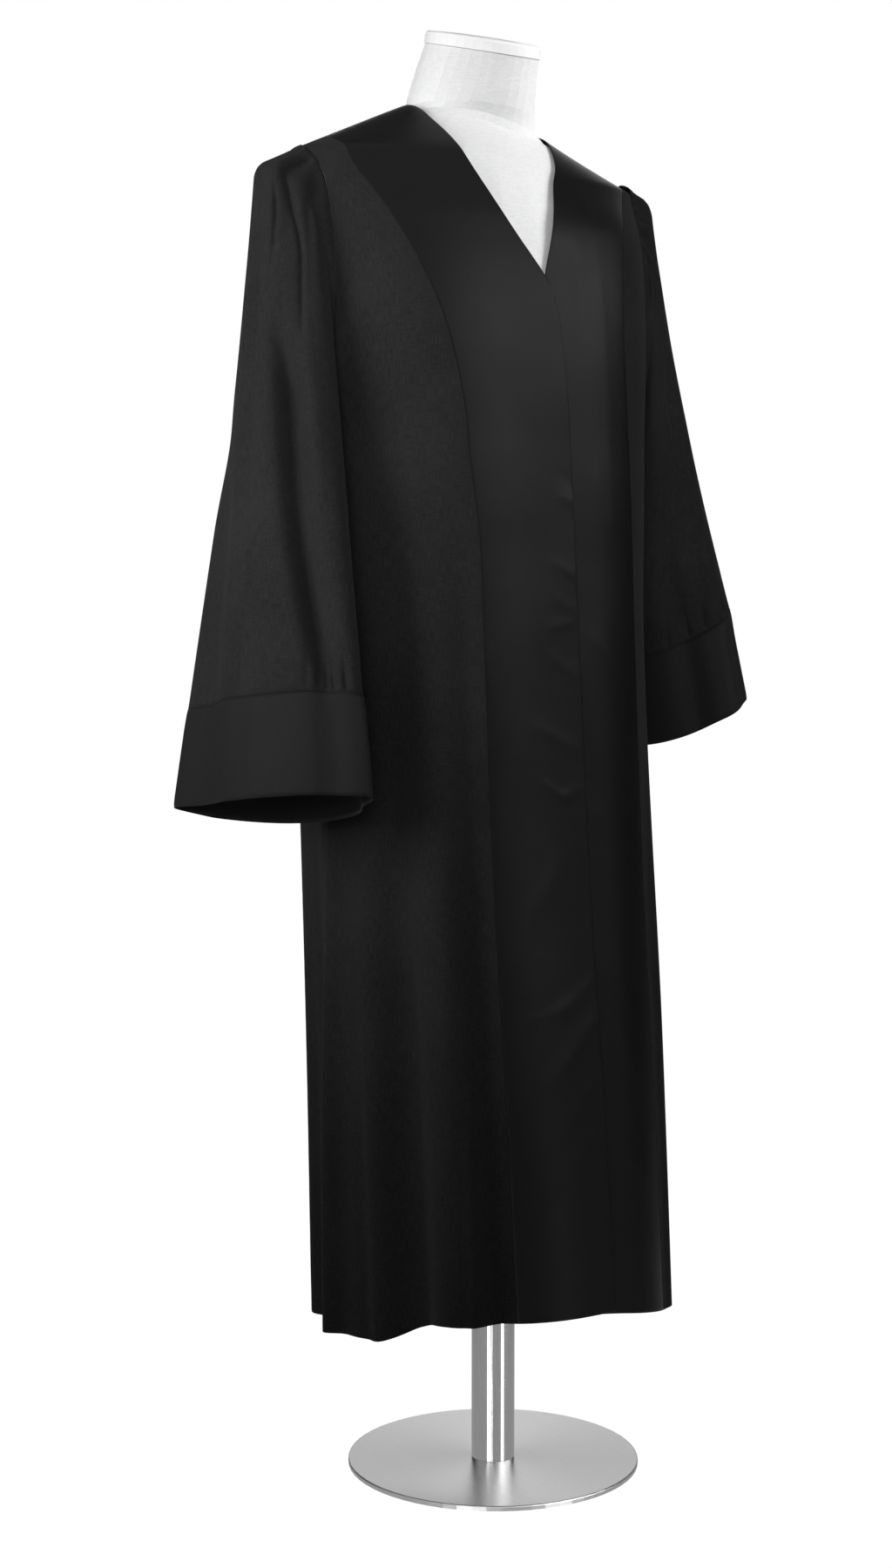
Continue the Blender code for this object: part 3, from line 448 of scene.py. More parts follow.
def columns_of(table):
    """One smooth curve over the first column for each further column of a table."""
    first, *others = zip(*table)
    return [smooth_curve(first, other) for other in others]


SIDE_HALF_WIDTH, RIDGE_Y, FRONT_DEPTH, BACK_DEPTH, FRONT_POWER, BACK_POWER = columns_of(
    BODY_SECTIONS
)


def half_width(height):
    """Half the body's width: the slope of the shoulders, rounded into the sides."""
    slope = NECK_X + (NECK_HEIGHT - height) * SHOULDER_RUN
    side = SIDE_HALF_WIDTH(height)
    blend = np.maximum(SHOULDER_ROUNDING - np.abs(slope - side), 0.0)
    return np.minimum(slope, side) - blend**2 / (4 * SHOULDER_ROUNDING)


def shoulder_lean(x, height):
    """The robe sits a little askew: the right shoulder's neck end is higher than the left's."""
    across = x / NECK_X
    rise = smooth_step((height - LEAN_START) / (LEAN_END - LEAN_START))
    return -SHOULDER_LEAN * 2 * across / (1 + across**2) * rise


def body_surface(turn, height):
    """Points of the body's smooth form, without folds."""
    cosine = np.cos(np.radians(turn))
    sine = np.sin(np.radians(turn))
    front = sine < 0
    power = np.where(front, FRONT_POWER(height), BACK_POWER(height))
    depth = np.where(front, FRONT_DEPTH(height), BACK_DEPTH(height))
    x = half_width(height) * np.sign(cosine) * np.abs(cosine) ** (2 / power)
    y = RIDGE_Y(height) + depth * np.sign(sine) * np.abs(sine) ** (2 / power)
    return np.stack([x, y, height + shoulder_lean(x, height)], axis=-1)


def body_normal(turn, height):
    across = body_surface(turn + 0.5, height) - body_surface(turn - 0.5, height)
    upward = body_surface(turn, height + 0.001) - body_surface(turn, height - 0.001)
    normal = np.cross(across, upward)
    return normal / np.linalg.norm(normal, axis=-1, keepdims=True)


def wrapped(turn):
    """The same turn between -180 and 180."""
    return (turn + 180.0) % 360.0 - 180.0


def bell(away, width):
    """The soft cross-section of a fold: one in its middle, and nothing well beyond its width."""
    return np.exp(-((away / width) ** 2))


def fold_height(turn, height):
    """How far the cloth stands out from, or in from, the smooth body at each place."""
    total = np.zeros(np.broadcast(turn, height).shape)
    for top_turn, foot_turn, top, width, depth in BODY_FOLDS + FINE_FOLDS:
        down = np.clip((top - height) / (top - FOLD_FOOT), 0.0, 1.0)
        middle = top_turn + (foot_turn - top_turn) * down
        strength = smooth_step((top - height) / FOLD_FADE)
        total += depth * strength * bell(wrapped(turn - middle), width)
    beside = np.zeros(total.shape)
    for seam in (180.0 - SEAM_BEHIND(height), SEAM_BEHIND(height)):
        beside += bell(wrapped(turn - seam), PUCKER_WIDTH)
    uneven = PUCKER_SHIFT * np.sin(height * PUCKER_SHIFT_RATE)
    wave = np.sin(2 * math.pi * height / PUCKER_STEP + uneven)
    below = smooth_step((UNDERARM_HEIGHT - height) / PUCKER_START)
    return (total + PUCKER_DEPTH * wave * beside * below) * MM


def raised(points, turn, height, out):
    """The points of some places on the body, moved out from it."""
    return points + body_normal(turn, height) * out[..., None]


def body_point(turn, height):
    """Points of the robe's outer face, folds included."""
    turn = np.asarray(turn, float)
    height = np.asarray(height, float)
    return raised(body_surface(turn, height), turn, height, fold_height(turn, height))


def turn_at_x(x, height):
    """The turn on the front at a place across from the centre, negative on the right side."""
    share = np.clip(np.abs(x) / half_width(height), 0.0, 1.0)
    return -np.degrees(np.arccos(np.sign(x) * share ** (FRONT_POWER(height) / 2)))


def shoulder_height(x):
    """The height of the shoulder seam at a place across from the centre."""
    heights = np.linspace(NECK_HEIGHT, UNDERARM_HEIGHT, SHOULDER_SAMPLES)
    return float(heights[np.argmax(half_width(heights) >= x)])


def hem_height(turn):
    return HEM_AT(wrapped(np.asarray(turn)))


def walked(turns, heights):
    """How much of a line of places lies behind each place, from 0 to 1, by its real length."""
    steps = np.linalg.norm(np.diff(body_surface(turns, heights), axis=0), axis=1)
    return np.concatenate([[0.0], np.cumsum(steps)]) / steps.sum()


def even_line(turns, heights):
    """A function from 0 to 1 that walks a line of places evenly."""
    share = walked(turns, heights)
    return lambda t: (np.interp(t, share, turns), np.interp(t, share, heights))


def front_line(heights, xs):
    """A line down a front, as places on the right, from the shoulder seam to the underarm."""
    rows = np.linspace(0.0, 1.0, len(xs))
    x_at = smooth_curve(rows, xs)
    height_at = smooth_curve(rows, heights)
    samples = np.linspace(0.0, 1.0, LINE_SAMPLES) ** 2
    turns = turn_at_x(-x_at(samples), height_at(samples))
    turns[0] = -180.0
    return even_line(turns, height_at(samples))


def armhole_line(depth, side):
    """Half the right armhole, from the shoulder seam to the underarm; side is -1 for the front."""
    angle = np.linspace(0.0, math.pi, LINE_SAMPLES)
    middle = (ARMHOLE_TOP + UNDERARM_HEIGHT) / 2
    heights = middle + (ARMHOLE_TOP - UNDERARM_HEIGHT) / 2 * np.cos(angle)
    if side < 0:
        reach, power = FRONT_DEPTH(heights), FRONT_POWER(heights)
    else:
        reach, power = BACK_DEPTH(heights), BACK_POWER(heights)
    sine = np.clip(depth * np.sin(angle) / reach, 0.0, 1.0) ** (power / 2)
    return even_line(side * (180.0 - np.degrees(np.arcsin(sine))), heights)


def with_edges(start, end, count, span):
    """Even steps from start to end, with a few short ones at both ends for the rolled edges."""
    near = np.array(EDGE_STEPS) / span * (end - start)
    inner = np.linspace(start, end, count + 1)[1:-1]
    clear = near[-1] * EDGE_CLEARANCE
    inner = inner[(inner > start + clear) & (inner < end - clear)]
    return np.concatenate([start + near, inner, end - near[::-1]])


EDGE_HEIGHTS, *EDGE_XS = zip(*FRONT_EDGES)
BAND_HEIGHTS, *BAND_XS = zip(*BAND_EDGES)
ARMHOLE_TOP = shoulder_height(ARMHOLE_X)
NECK_POINT_HEIGHT = EDGE_HEIGHTS[EDGE_XS[0].index(0.0)]
NECK_LINE = {side: front_line(EDGE_HEIGHTS, xs) for side, xs in zip(SIDES, EDGE_XS)}
BAND_LINE = {side: front_line(BAND_HEIGHTS, xs) for side, xs in zip(SIDES, BAND_XS)}
BAND_TOP_X = {side: xs[-1] for side, xs in zip(SIDES, BAND_XS)}
ARMHOLE_FRONT_LINE = armhole_line(ARMHOLE_FRONT, -1)
ARMHOLE_BACK_LINE = armhole_line(ARMHOLE_BACK, 1)
SEAM_BEHIND = columns_of(SIDE_SEAM)[0]
HEM_AT = columns_of(HEM_HEIGHTS)[0]
BODY_ROWS = np.concatenate(
    [
        with_edges(0.0, 2.0, BODICE_ROWS * 2, BODICE_SPAN)[: BODICE_ROWS + 2],
        with_edges(0.0, 2.0, SKIRT_ROWS * 2, SKIRT_SPAN)[-SKIRT_ROWS - 3 :],
    ]
)
BODY_ROWS = np.unique(np.round(BODY_ROWS, 6))
ROUND_PLACES = np.arange(len(ARMHOLE_STEPS) + 1) / len(ARMHOLE_STEPS)
ROUND_ROWS = np.concatenate([[0.0], np.cumsum(ARMHOLE_STEPS)])


def skirt_heights(turn, t, side="right"):
    """Heights below the underarm, as t goes from 1 there to 2 at the hem."""
    hem = hem_height(-180.0 - turn if side == "left" else turn)
    return UNDERARM_HEIGHT + (hem - UNDERARM_HEIGHT) * (t - 1.0)


def neck_edge(t, side):
    """A front's neckline and then its overlapping edge, as places on the right, t from 0 to 2."""
    turn, height = NECK_LINE[side](np.minimum(t, 1.0))
    height = np.where(t > 1.0, skirt_heights(-90.0, t), height)
    return np.where(t > 1.0, turn_at_x(EDGE_FOOT_X[side], height), turn), height


def band_edge(t, side):
    """The seam between a band and its front, as places on the right, t from 0 to 2."""
    turn, height = BAND_LINE[side](np.minimum(t, 1.0))
    top_x, foot_x = BAND_TOP_X[side], BAND_FOOT_X[side]
    below = skirt_heights(turn_at_x(-foot_x, HEM_SIDE), t, side)
    settled = smooth_step((UNDERARM_HEIGHT - below) / (UNDERARM_HEIGHT - BAND_STRAIGHT_HEIGHT))
    height = np.where(t > 1.0, below, height)
    return np.where(t > 1.0, turn_at_x(-top_x - (foot_x - top_x) * settled, height), turn), height


def side_edge(t, armhole, side):
    """The armhole and then the side seam of the right side; side is -1 as the front meets it."""
    turn, height = armhole(np.minimum(t, 1.0))
    below = skirt_heights(180.0 - SEAM_BEHIND(HEM_SIDE), t)
    seam = 180.0 - SEAM_BEHIND(below)
    if side < 0:
        seam = seam - 360.0
    return np.where(t > 1.0, seam, turn), np.where(t > 1.0, below, height)


def between(first, last, share):
    """A grid of places on straight lines from each place of one edge to that of another."""
    turns = first[0][:, None] * (1 - share) + last[0][:, None] * share
    heights = first[1][:, None] * (1 - share) + last[1][:, None] * share
    return turns, heights


def front_grid(side):
    """The places of a front. Its columns hang straight and only the last ones follow the seam."""
    share = with_edges(0.0, 1.0, FRONT_COLUMNS, FRONT_SPAN)
    first, last = band_edge(BODY_ROWS, side), side_edge(BODY_ROWS, ARMHOLE_FRONT_LINE, -1)
    turns, heights = between(first, (np.full(len(BODY_ROWS), -180.0), last[1]), share)
    rows = BODY_ROWS[:, None]
    turns = turns + (last[0] + 180.0)[:, None] * share ** np.where(rows > 1.0, 3.0, 1.0)
    return turns, np.where(rows > 1.0, skirt_heights(turns[-1], rows, side), heights)


def mirrored(turns, heights):
    """The same places on the wearer's left, in an order that keeps the outside outside."""
    return (-180.0 - turns)[:, ::-1], heights[:, ::-1]


def drawn_in(edge, inner, closed=False):
    """The points of an edge moved by the seam's inset, square to the edge, towards its inside."""
    if closed:
        along = np.roll(edge, -1, axis=0) - np.roll(edge, 1, axis=0)
    else:
        along = np.gradient(edge, axis=0)
    step = inner - edge
    share = np.sum(step * along, axis=-1) / np.sum(along * along, axis=-1)
    step = step - along * share[:, None]
    return edge + step / np.linalg.norm(step, axis=-1, keepdims=True) * SEAM_INSET


def inset(points, closed=False):
    """Draw the grid's edges in, which leaves the gap of a seam round the piece."""
    points = points.copy()
    for row, inner in ((0, 1), (-1, -2)):
        points[row] = drawn_in(points[row], points[inner], closed)
    if not closed:
        for column, inner in ((0, 1), (-1, -2)):
            points[:, column] = drawn_in(points[:, column], points[:, inner])
    return points


def grid_normals(points, closed):
    """Outward directions on a grid whose rows go down and whose columns go to the wearer's left."""
    if closed:
        across = np.roll(points, -1, axis=1) - np.roll(points, 1, axis=1)
    else:
        across = np.gradient(points, axis=1)
    normal = np.cross(np.gradient(points, axis=0), across)
    return normal / np.maximum(np.linalg.norm(normal, axis=-1, keepdims=True), 1e-12)


def lengths_along(points, axis):
    """The distance of each point of a grid from the grid's first edge on that axis."""
    steps = np.linalg.norm(np.diff(points, axis=axis), axis=-1)
    start = np.zeros_like(np.take(steps, [0], axis=axis))
    return np.concatenate([start, np.cumsum(steps, axis=axis)], axis=axis)


def rolled(points, closed, edges):
    """Turn the named edges in with a small round, as at a sewn or folded edge."""
    down = lengths_along(points, 0)
    across = lengths_along(points, 1)
    away = {
        "top": down,
        "foot": down[-1:] - down,
        "first": across,
        "last": across[:, -1:] - across,
    }
    near = np.min([away[edge] for edge in edges], axis=0)
    share = np.clip(1 - near / ROLL_WIDTH, 0.0, 1.0)
    drop = ROLL_DEPTH * (1 - np.sqrt(1 - share**2))
    return points - grid_normals(points, closed) * drop[..., None]


def placed(name, data):
    """A new object in the scene."""
    obj = bpy.data.objects.new(name, data)
    bpy.context.scene.collection.objects.link(obj)
    return obj


def shell(name, points, finish, closed=False, edges=("top", "foot", "first", "last")):
    """A wall of cloth on a grid of points of its outer face, with its weave laid out in metres."""
    points = rolled(points, closed, edges)
    rows, columns = points.shape[:2]
    lap = np.concatenate([points, points[:, :1]], axis=1) if closed else points
    across = lengths_along(lap, 1)
    across = across - across[:, columns // 2, None]
    down = lengths_along(lap, 0)
    flat = np.stack([across, down[-1:] - down], axis=-1)
    i, j = np.meshgrid(np.arange(rows - 1), np.arange(lap.shape[1] - 1), indexing="ij")
    i, j = i.ravel(), j.ravel()
    ring = np.stack([np.stack([i, i + 1, i + 1, i]), np.stack([j, j, j + 1, j + 1])], axis=-1)
    faces = ring[..., 0] * columns + ring[..., 1] % columns
    data = bpy.data.meshes.new(name)
    data.from_pydata(points.reshape(-1, 3).tolist(), [], faces.T.tolist())
    layer = data.uv_layers.new(name="cloth")
    layer.data.foreach_set("uv", flat[ring[..., 0], ring[..., 1]].transpose(1, 0, 2).ravel())
    obj = placed(name, data)
    data.shade_smooth()
    data.materials.append(MATERIALS[finish])
    wall = obj.modifiers.new("wall", "SOLIDIFY")
    wall.thickness = WALL
    wall.offset = -1.0
    node = name.removeprefix("cloth_")
    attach(obj, "root")
    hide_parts(node)
    return obj


def crease_height(points, side):
    """How far a band's creases lift or sink each place, fading out past both their ends."""
    total = np.zeros(points.shape[:2])
    for x, height, end_x, end_height, width, depth in BAND_CREASES[side]:
        run, rise = end_x - x, end_height - height
        length = math.hypot(run, rise)
        from_x = points[..., 0] - x
        from_height = points[..., 2] - height
        along = (from_x * run + from_height * rise) / length
        aside = (from_x * rise - from_height * run) / length
        beyond = np.maximum(np.maximum(-along, along - length), 0.0)
        total += depth * bell(aside, width) * bell(beyond, 2 * width)
    return total * MM


def band_point(turns, heights, side):
    points = body_point(turns, heights)
    return raised(points, turns, heights, crease_height(points, side))


def make_bands():
    """The satin trim down each front. The left one dips to lie under the right one."""
    share = with_edges(0.0, 1.0, BAND_COLUMNS, BAND_SPAN)
    grids = {
        side: between(neck_edge(BODY_ROWS, side), band_edge(BODY_ROWS, side), share)
        for side in SIDES
    }
    shell("cloth_band_right", inset(band_point(*grids["right"], "right"))[:, ::-1], "satin")
    turns, heights = mirrored(*grids["left"])
    points = band_point(turns, heights, "left")
    across = smooth_step((DIP_START_X - points[..., 0]) / (DIP_START_X - DIP_END_X))
    down = smooth_step((NECK_POINT_HEIGHT + DIP_RISE - points[..., 2]) / DIP_LENGTH)
    points = raised(points, turns, heights, -OVERLAP_DROP * across * down)
    shell("cloth_band_left", inset(points)[:, ::-1], "satin")


def make_fronts():
    grids = {"front_right": front_grid("right"), "front_left": mirrored(*front_grid("left"))}
    for name, grid in grids.items():
        shell(f"cloth_{name}", inset(body_point(*grid))[:, ::-1], "wool", edges=("foot",))


def back_band_lines():
    """The back neckline and the lower edge of its band, from the right shoulder to the left."""
    turns = 180.0 * (1 - with_edges(0.0, 1.0, BACK_COLUMNS, BACK_SPAN))
    rise = np.abs(np.sin(np.radians(turns)))
    neck = (turns, NECK_HEIGHT - BACK_NECK_DROP * rise)
    edge = (turns, BAND_HEIGHTS[0] - BACK_BAND_DROP * rise**BACK_BAND_POWER)
    return neck, edge


def make_back_band():
    neck, edge = back_band_lines()
    turns, heights = between(neck, edge, with_edges(0.0, 1.0, BACK_BAND_ROWS, BACK_BAND_SPAN))
    points = body_point(turns.T, heights.T)
    shell("cloth_band_back", inset(points)[:, ::-1], "satin")


def make_back():
    """The back, under its band: a patch blended from its edges, with the shoulders' short ends."""
    _, top = back_band_lines()
    rows = np.arange(SHOULDER_ROWS) / SHOULDER_ROWS
    shoulder = BAND_HEIGHTS[0] + (ARMHOLE_TOP - BAND_HEIGHTS[0]) * rows
    side_turns, side_heights = side_edge(BODY_ROWS, ARMHOLE_BACK_LINE, 1)
    right_turns = np.concatenate([180.0 + 0 * shoulder, side_turns])
    heights = np.concatenate([shoulder, side_heights])
    left_turns = 180.0 - right_turns
    s = walked(*top)
    t = walked(right_turns, heights)
    foot_turns = right_turns[-1] + (left_turns[-1] - right_turns[-1]) * s
    turns = blended(top[0], foot_turns, right_turns, left_turns, s, t)
    heights = blended(top[1], hem_height(foot_turns), heights, heights, s, t)
    below = heights[:1] - heights
    gathers = smooth_step(below / GATHER_RISE) * (1 - smooth_step(below / GATHER_LENGTH))
    ripple = sum(depth * bell(turns - place, GATHER_WIDTH) for place, depth in BACK_GATHERS)
    points = raised(body_point(turns, heights), turns, heights, gathers * ripple * MM)
    shell("cloth_back", inset(points)[:, ::-1], "wool", edges=("foot", "first", "last"))


def blended(top, foot, first, last, s, t):
    """The patch between top and foot, whose two sides soon fade into straight columns."""
    s = s[None, :]
    t = t[:, None]
    down = top[None, :] * (1 - t) + foot[None, :] * t
    first_wander = first[:, None] - down[:, :1]
    last_wander = last[:, None] - down[:, -1:]
    return down + first_wander * (1 - s) ** 3 + last_wander * s**3


def sleeve_ring():
    """The right armhole's outline with each column's position round the sleeve."""
    round_place = np.arange(SLEEVE_COLUMNS) * 2.0 / SLEEVE_COLUMNS
    round_place = np.where(round_place > 1.0, round_place - 2.0, round_place)
    rows = np.interp(np.abs(round_place), ROUND_PLACES, ROUND_ROWS)
    front = body_point(*ARMHOLE_FRONT_LINE(rows))
    back = body_point(*ARMHOLE_BACK_LINE(rows))
    return np.where((round_place >= 0)[:, None], front, back), round_place


def sleeve_end(round_place, end):
    """The cuff's edge: a slanting oval, turned a little out at the back."""
    angle = round_place * math.pi
    forward = end["long"] * np.sin(angle)
    outward = end["short"] * np.cos(angle)
    lean = math.radians(end["turn"])
    x = -end["centre_x"] - outward * math.cos(lean) + forward * math.sin(lean)
    y = end["centre_y"] - forward * math.cos(lean) - outward * math.sin(lean)
    outer, front, inner, back = end["heights"]
    height = (
        (outer + front + inner + back) / 4
        + (outer - inner) / 2 * np.cos(angle)
        + (front - back) / 2 * np.sin(angle)
        + (outer + inner - front - back) / 4 * np.cos(2 * angle)
    )
    return np.stack([x, y, height], axis=-1)


def sleeve_form(end):
    """The smooth sleeve as a grid: out over the head, round its turn and straight to the cuff."""
    ring, round_place = sleeve_ring()
    foot = sleeve_end(round_place, end)
    top = np.cos(round_place * math.pi / 2) ** 2
    fall = np.radians(UNDERARM_FALL + (HEAD_FALL - UNDERARM_FALL) * top)
    reach = UNDERARM_REACH + (end["head_reach"] - UNDERARM_REACH) * top**2
    spread = HEAD_SPREAD * np.sin(round_place * math.pi)
    outward = np.stack([-np.cos(fall), -spread, -np.sin(fall)], axis=-1)
    outward /= np.linalg.norm(outward, axis=-1, keepdims=True)
    start = ring + outward * SEAM_STEP
    bend = ring + outward * (HEAD_STRAIGHT * reach)[:, None]
    corner = ring + outward * reach[:, None]
    down = (foot - corner) / np.linalg.norm(foot - corner, axis=-1, keepdims=True)
    arm = corner + down * HEAD_TURN
    cuff = foot - down * CUFF_LENGTH
    hang = np.array([end["hang"], 0.0, 0.0])
    rows = [start + (bend - start) * s for s in np.arange(HEAD_ROWS) / HEAD_ROWS]
    for s in np.arange(TURN_ROWS) / TURN_ROWS:
        rows.append(bend * (1 - s) ** 2 + corner * 2 * s * (1 - s) + arm * s**2)
    for s in np.arange(ARM_ROWS) / ARM_ROWS:
        rows.append(arm + (cuff - arm) * s + hang * math.sin(math.pi * s))
    for s in np.linspace(0.0, 1.0, CUFF_ROWS + 1):
        rows.append(cuff + (foot - cuff) * s)
    return np.array(rows), round_place


def away_from(round_place, middle):
    """How far round the sleeve each place is from another, the short way."""
    return (round_place - middle + 1.0) % 2.0 - 1.0


def sleeve_fold_height(along, seam, round_place, side):
    """Pleats from the head, long hanging folds and the small gathers over the cuff."""
    total = np.zeros((len(along), len(round_place)))
    s = along[:, None]
    for width, depth, places in HEAD_CREASES[side]:
        away = np.abs(away_from(round_place, columns_of(places)[0](s)))
        foot = places[-1][0]
        fade = 1 - smooth_step((s / foot - HEAD_CREASE_FADE) / (1 - HEAD_CREASE_FADE))
        total -= depth * fade * smooth_step(s / HEAD_CREASE_RISE) * np.exp(-away / width)
    fade = smooth_step((round_place - SEAM_FOLD[0][0]) / SEAM_FOLD_FADE)
    fade = fade * smooth_step((SEAM_FOLD[-1][0] - round_place) / SEAM_FOLD_FADE)
    away = s - columns_of(SEAM_FOLD)[0](round_place)
    total -= SEAM_FOLD_DEPTH * fade * bell(away, SEAM_FOLD_WIDTH)
    valley = LONG_VALLEYS[side]
    away = away_from(round_place, columns_of(valley)[0](s))
    loss = LONG_VALLEY_LOSS * smooth_step((s - seam + LONG_VALLEY_STOP) / LONG_VALLEY_END)
    fade = smooth_step((s - valley[0][0]) / LONG_VALLEY_START) * (1 - loss)
    width = np.where(away < 0, LONG_VALLEY_WIDTH, LONG_VALLEY_FAR_WIDTH)
    total -= LONG_VALLEY_DEPTH[side] * fade * bell(away, width)
    for middle, depth, length in HEAD_PLEATS:
        fade = smooth_step(s / HEAD_PLEAT_RISE) * (1 - smooth_step(s / length))
        total -= depth * fade * bell(away_from(round_place, middle), HEAD_PLEAT_WIDTH)
    for head, foot, start, end, width, depth in SLEEVE_FOLDS:
        middle = head + (foot - head) * np.clip((s - start) / (end - start), 0.0, 1.0)
        fade = smooth_step((s - start) / SLEEVE_FOLD_START) * smooth_step((end - s) / SLEEVE_FOLD_END)
        total += depth * fade * bell(away_from(round_place, middle), width)
    gather_fade = smooth_step((s - seam + CUFF_GATHER_LENGTH) / CUFF_GATHER_LENGTH)
    gather_fade = gather_fade * smooth_step((seam - s) / CUFF_GATHER_FOOT)
    for middle, depth in CUFF_GATHERS:
        total -= depth * gather_fade * bell(away_from(round_place, middle), CUFF_GATHER_WIDTH)
    cuff_fade = smooth_step((s - seam + CUFF_FOLD_START) / CUFF_FOLD_RISE)
    for middle, width, depth in CUFF_FOLDS:
        total += depth * cuff_fade * bell(away_from(round_place, middle), width)
    return total * MM


def make_sleeve(side):
    """One sleeve and its cuff. The left ones are mirrored from places on the right."""
    smooth, round_place = sleeve_form(SLEEVE_ENDS[side])
    lengths = np.linalg.norm(np.diff(smooth, axis=0), axis=-1).mean(axis=1)
    along = np.concatenate([[0.0], np.cumsum(lengths)]) / lengths.sum()
    seam = HEAD_ROWS + TURN_ROWS + ARM_ROWS
    normals = grid_normals(smooth, True)
    folds = sleeve_fold_height(along, along[seam], round_place, side)
    points = smooth + normals * folds[..., None]
    sleeve = points[: seam + 1]
    cuff = points[seam:] + normals[seam:] * CUFF_LIFT
    if side == "left":
        flip = np.array([-1.0, 1.0, 1.0])
        sleeve = sleeve[:, ::-1] * flip
        cuff = cuff[:, ::-1] * flip
    shell(f"cloth_sleeve_{side}", inset(sleeve, closed=True), "wool", True, ("top",))
    shell(f"cloth_cuff_{side}", inset(cuff, closed=True), "cuff", True, ("top", "foot"))


class Graph:
    """The node graph of a material or world, with short calls to add nodes and link them."""

    def __init__(self, owner, shader="Principled BSDF"):
        self.owner = owner
        owner.use_nodes = True
        self.tree = owner.node_tree
        self.shader = self.tree.nodes[shader]

    def add(self, kind, inputs=(), **settings):
        node = self.tree.nodes.new(f"ShaderNode{kind}")
        for name, value in settings.items():
            setattr(node, name, value)
        for name, value in dict(inputs).items():
            if isinstance(value, bpy.types.NodeSocket):
                self.tree.links.new(value, node.inputs[name])
            else:
                node.inputs[name].default_value = value
        return node

    def math(self, operation, first, second=0.0):
        return self.add("Math", {0: first, 1: second}, operation=operation).outputs[0]

    def dot(self, first, second):
        node = self.add("VectorMath", {0: first, 1: second}, operation="DOT_PRODUCT")
        return node.outputs["Value"]

    def mixed(self, share, first, second):
        """A colour between two others."""
        inputs = {0: share, 6: (*first, 1.0), 7: (*second, 1.0)}
        return self.add("Mix", inputs, data_type="RGBA").outputs[2]

    def blend(self, first, second, share):
        """A value between two others, at the given share of the second one."""
        rest = self.math("MULTIPLY", first, 1 - share)
        return self.math("ADD", rest, self.math("MULTIPLY", second, share))

    def ramp(self, value, source, target=(0.0, 1.0)):
        """A value brought from one range to another, and held at the ends."""
        ends = zip(("From Min", "From Max", "To Min", "To Max"), (*source, *target))
        return self.add("MapRange", {"Value": value, **dict(ends)}).outputs[0]

    def band(self, value, edges):
        """One between the two middle edges, and nothing beyond the outer two."""
        low, full, high, top = edges
        return self.math("MULTIPLY", self.ramp(value, (low, full)), self.ramp(value, (top, high)))

    def cone(self, way, axis, outer, inner):
        """One within the inner angle from an axis, and nothing beyond the outer one."""
        cosines = [math.cos(math.radians(angle)) for angle in (outer, inner)]
        return self.ramp(self.dot(way, axis), cosines)

    def noise(self, place, scale, detail, stretch=(1.0, 1.0, 1.0), roughness=0.5):
        """Noise, drawn out into lines where it is stretched."""
        place = self.add("Mapping", {"Vector": place, "Scale": stretch}).outputs[0]
        inputs = {"Vector": place, "Scale": scale, "Detail": detail, "Roughness": roughness}
        return self.add("TexNoise", inputs).outputs[0]

    def bump(self, height, strength, distance, **under):
        inputs = {"Height": height, "Strength": strength, "Distance": distance, **under}
        return self.add("Bump", inputs).outputs[0]

    def set(self, **values):
        for name, value in values.items():
            self.shader.inputs[name.replace("_", " ")].default_value = value

    def link(self, output, name):
        self.tree.links.new(output, self.shader.inputs[name])


def cloth_material(name, dark, light, roughness, threads, bump, ripple, sheen, specular):
    """Woven cloth: fine crossing threads, longer and shorter streaks in them, and a soft sheen."""
    graph = Graph(bpy.data.materials.new(name))
    flat = graph.add("UVMap", uv_map="cloth").outputs[0]
    warp = graph.noise(flat, STREAK_SCALE, STREAK_DETAIL, WARP_STRETCH, STREAK_ROUGHNESS)
    weft = graph.noise(flat, STREAK_SCALE, STREAK_DETAIL, WEFT_STRETCH, STREAK_ROUGHNESS)
    cloud = graph.noise(flat, CLOUD_SCALE, CLOUD_DETAIL)
    across = graph.add("TexWave", {"Vector": flat, "Scale": threads}, bands_direction="X").outputs[1]
    along = graph.add("TexWave", {"Vector": flat, "Scale": threads}, bands_direction="Y").outputs[1]
    weave = graph.math("MULTIPLY", across, along)
    slub = graph.blend(warp, weft, WEFT_SHARE)
    tone = graph.ramp(graph.blend(slub, cloud, CLOUD_SHARE), CLOTH_TONES)
    graph.link(graph.mixed(tone, dark, light), "Base Color")
    rough = (roughness - CLOTH_UNEVENNESS, roughness + CLOTH_UNEVENNESS)
    graph.link(graph.ramp(cloud, (0.0, 1.0), rough), "Roughness")
    relief = graph.math("ADD", slub, graph.math("MULTIPLY", weave, WEAVE_HEIGHT))
    uneven = graph.bump(graph.noise(flat, RIPPLE_SCALE, 0.0), 1.0, ripple)
    graph.link(graph.bump(relief, 1.0, bump, Normal=uneven), "Normal")
    graph.set(Sheen_Weight=sheen, Sheen_Roughness=SHEEN_ROUGHNESS, Specular_IOR_Level=specular)
    return graph.owner


def linen_material():
    """Off-white linen: uneven crossing threads on a form that has no seams of its own."""
    graph = Graph(bpy.data.materials.new("linen"))
    place = graph.add("TexCoord").outputs["Object"]
    lines = [graph.noise(place, STREAK_SCALE, STREAK_DETAIL, each) for each in LINEN_STRETCHES]
    threads = graph.blend(*lines, 0.5)
    graph.link(graph.mixed(graph.ramp(threads, LINE_TONES), *LINEN_COLOURS), "Base Color")
    graph.link(graph.bump(threads, *LINEN_RELIEF), "Normal")
    graph.set(Roughness=0.9, Specular_IOR_Level=0.2, Sheen_Weight=0.05)
    return graph.owner


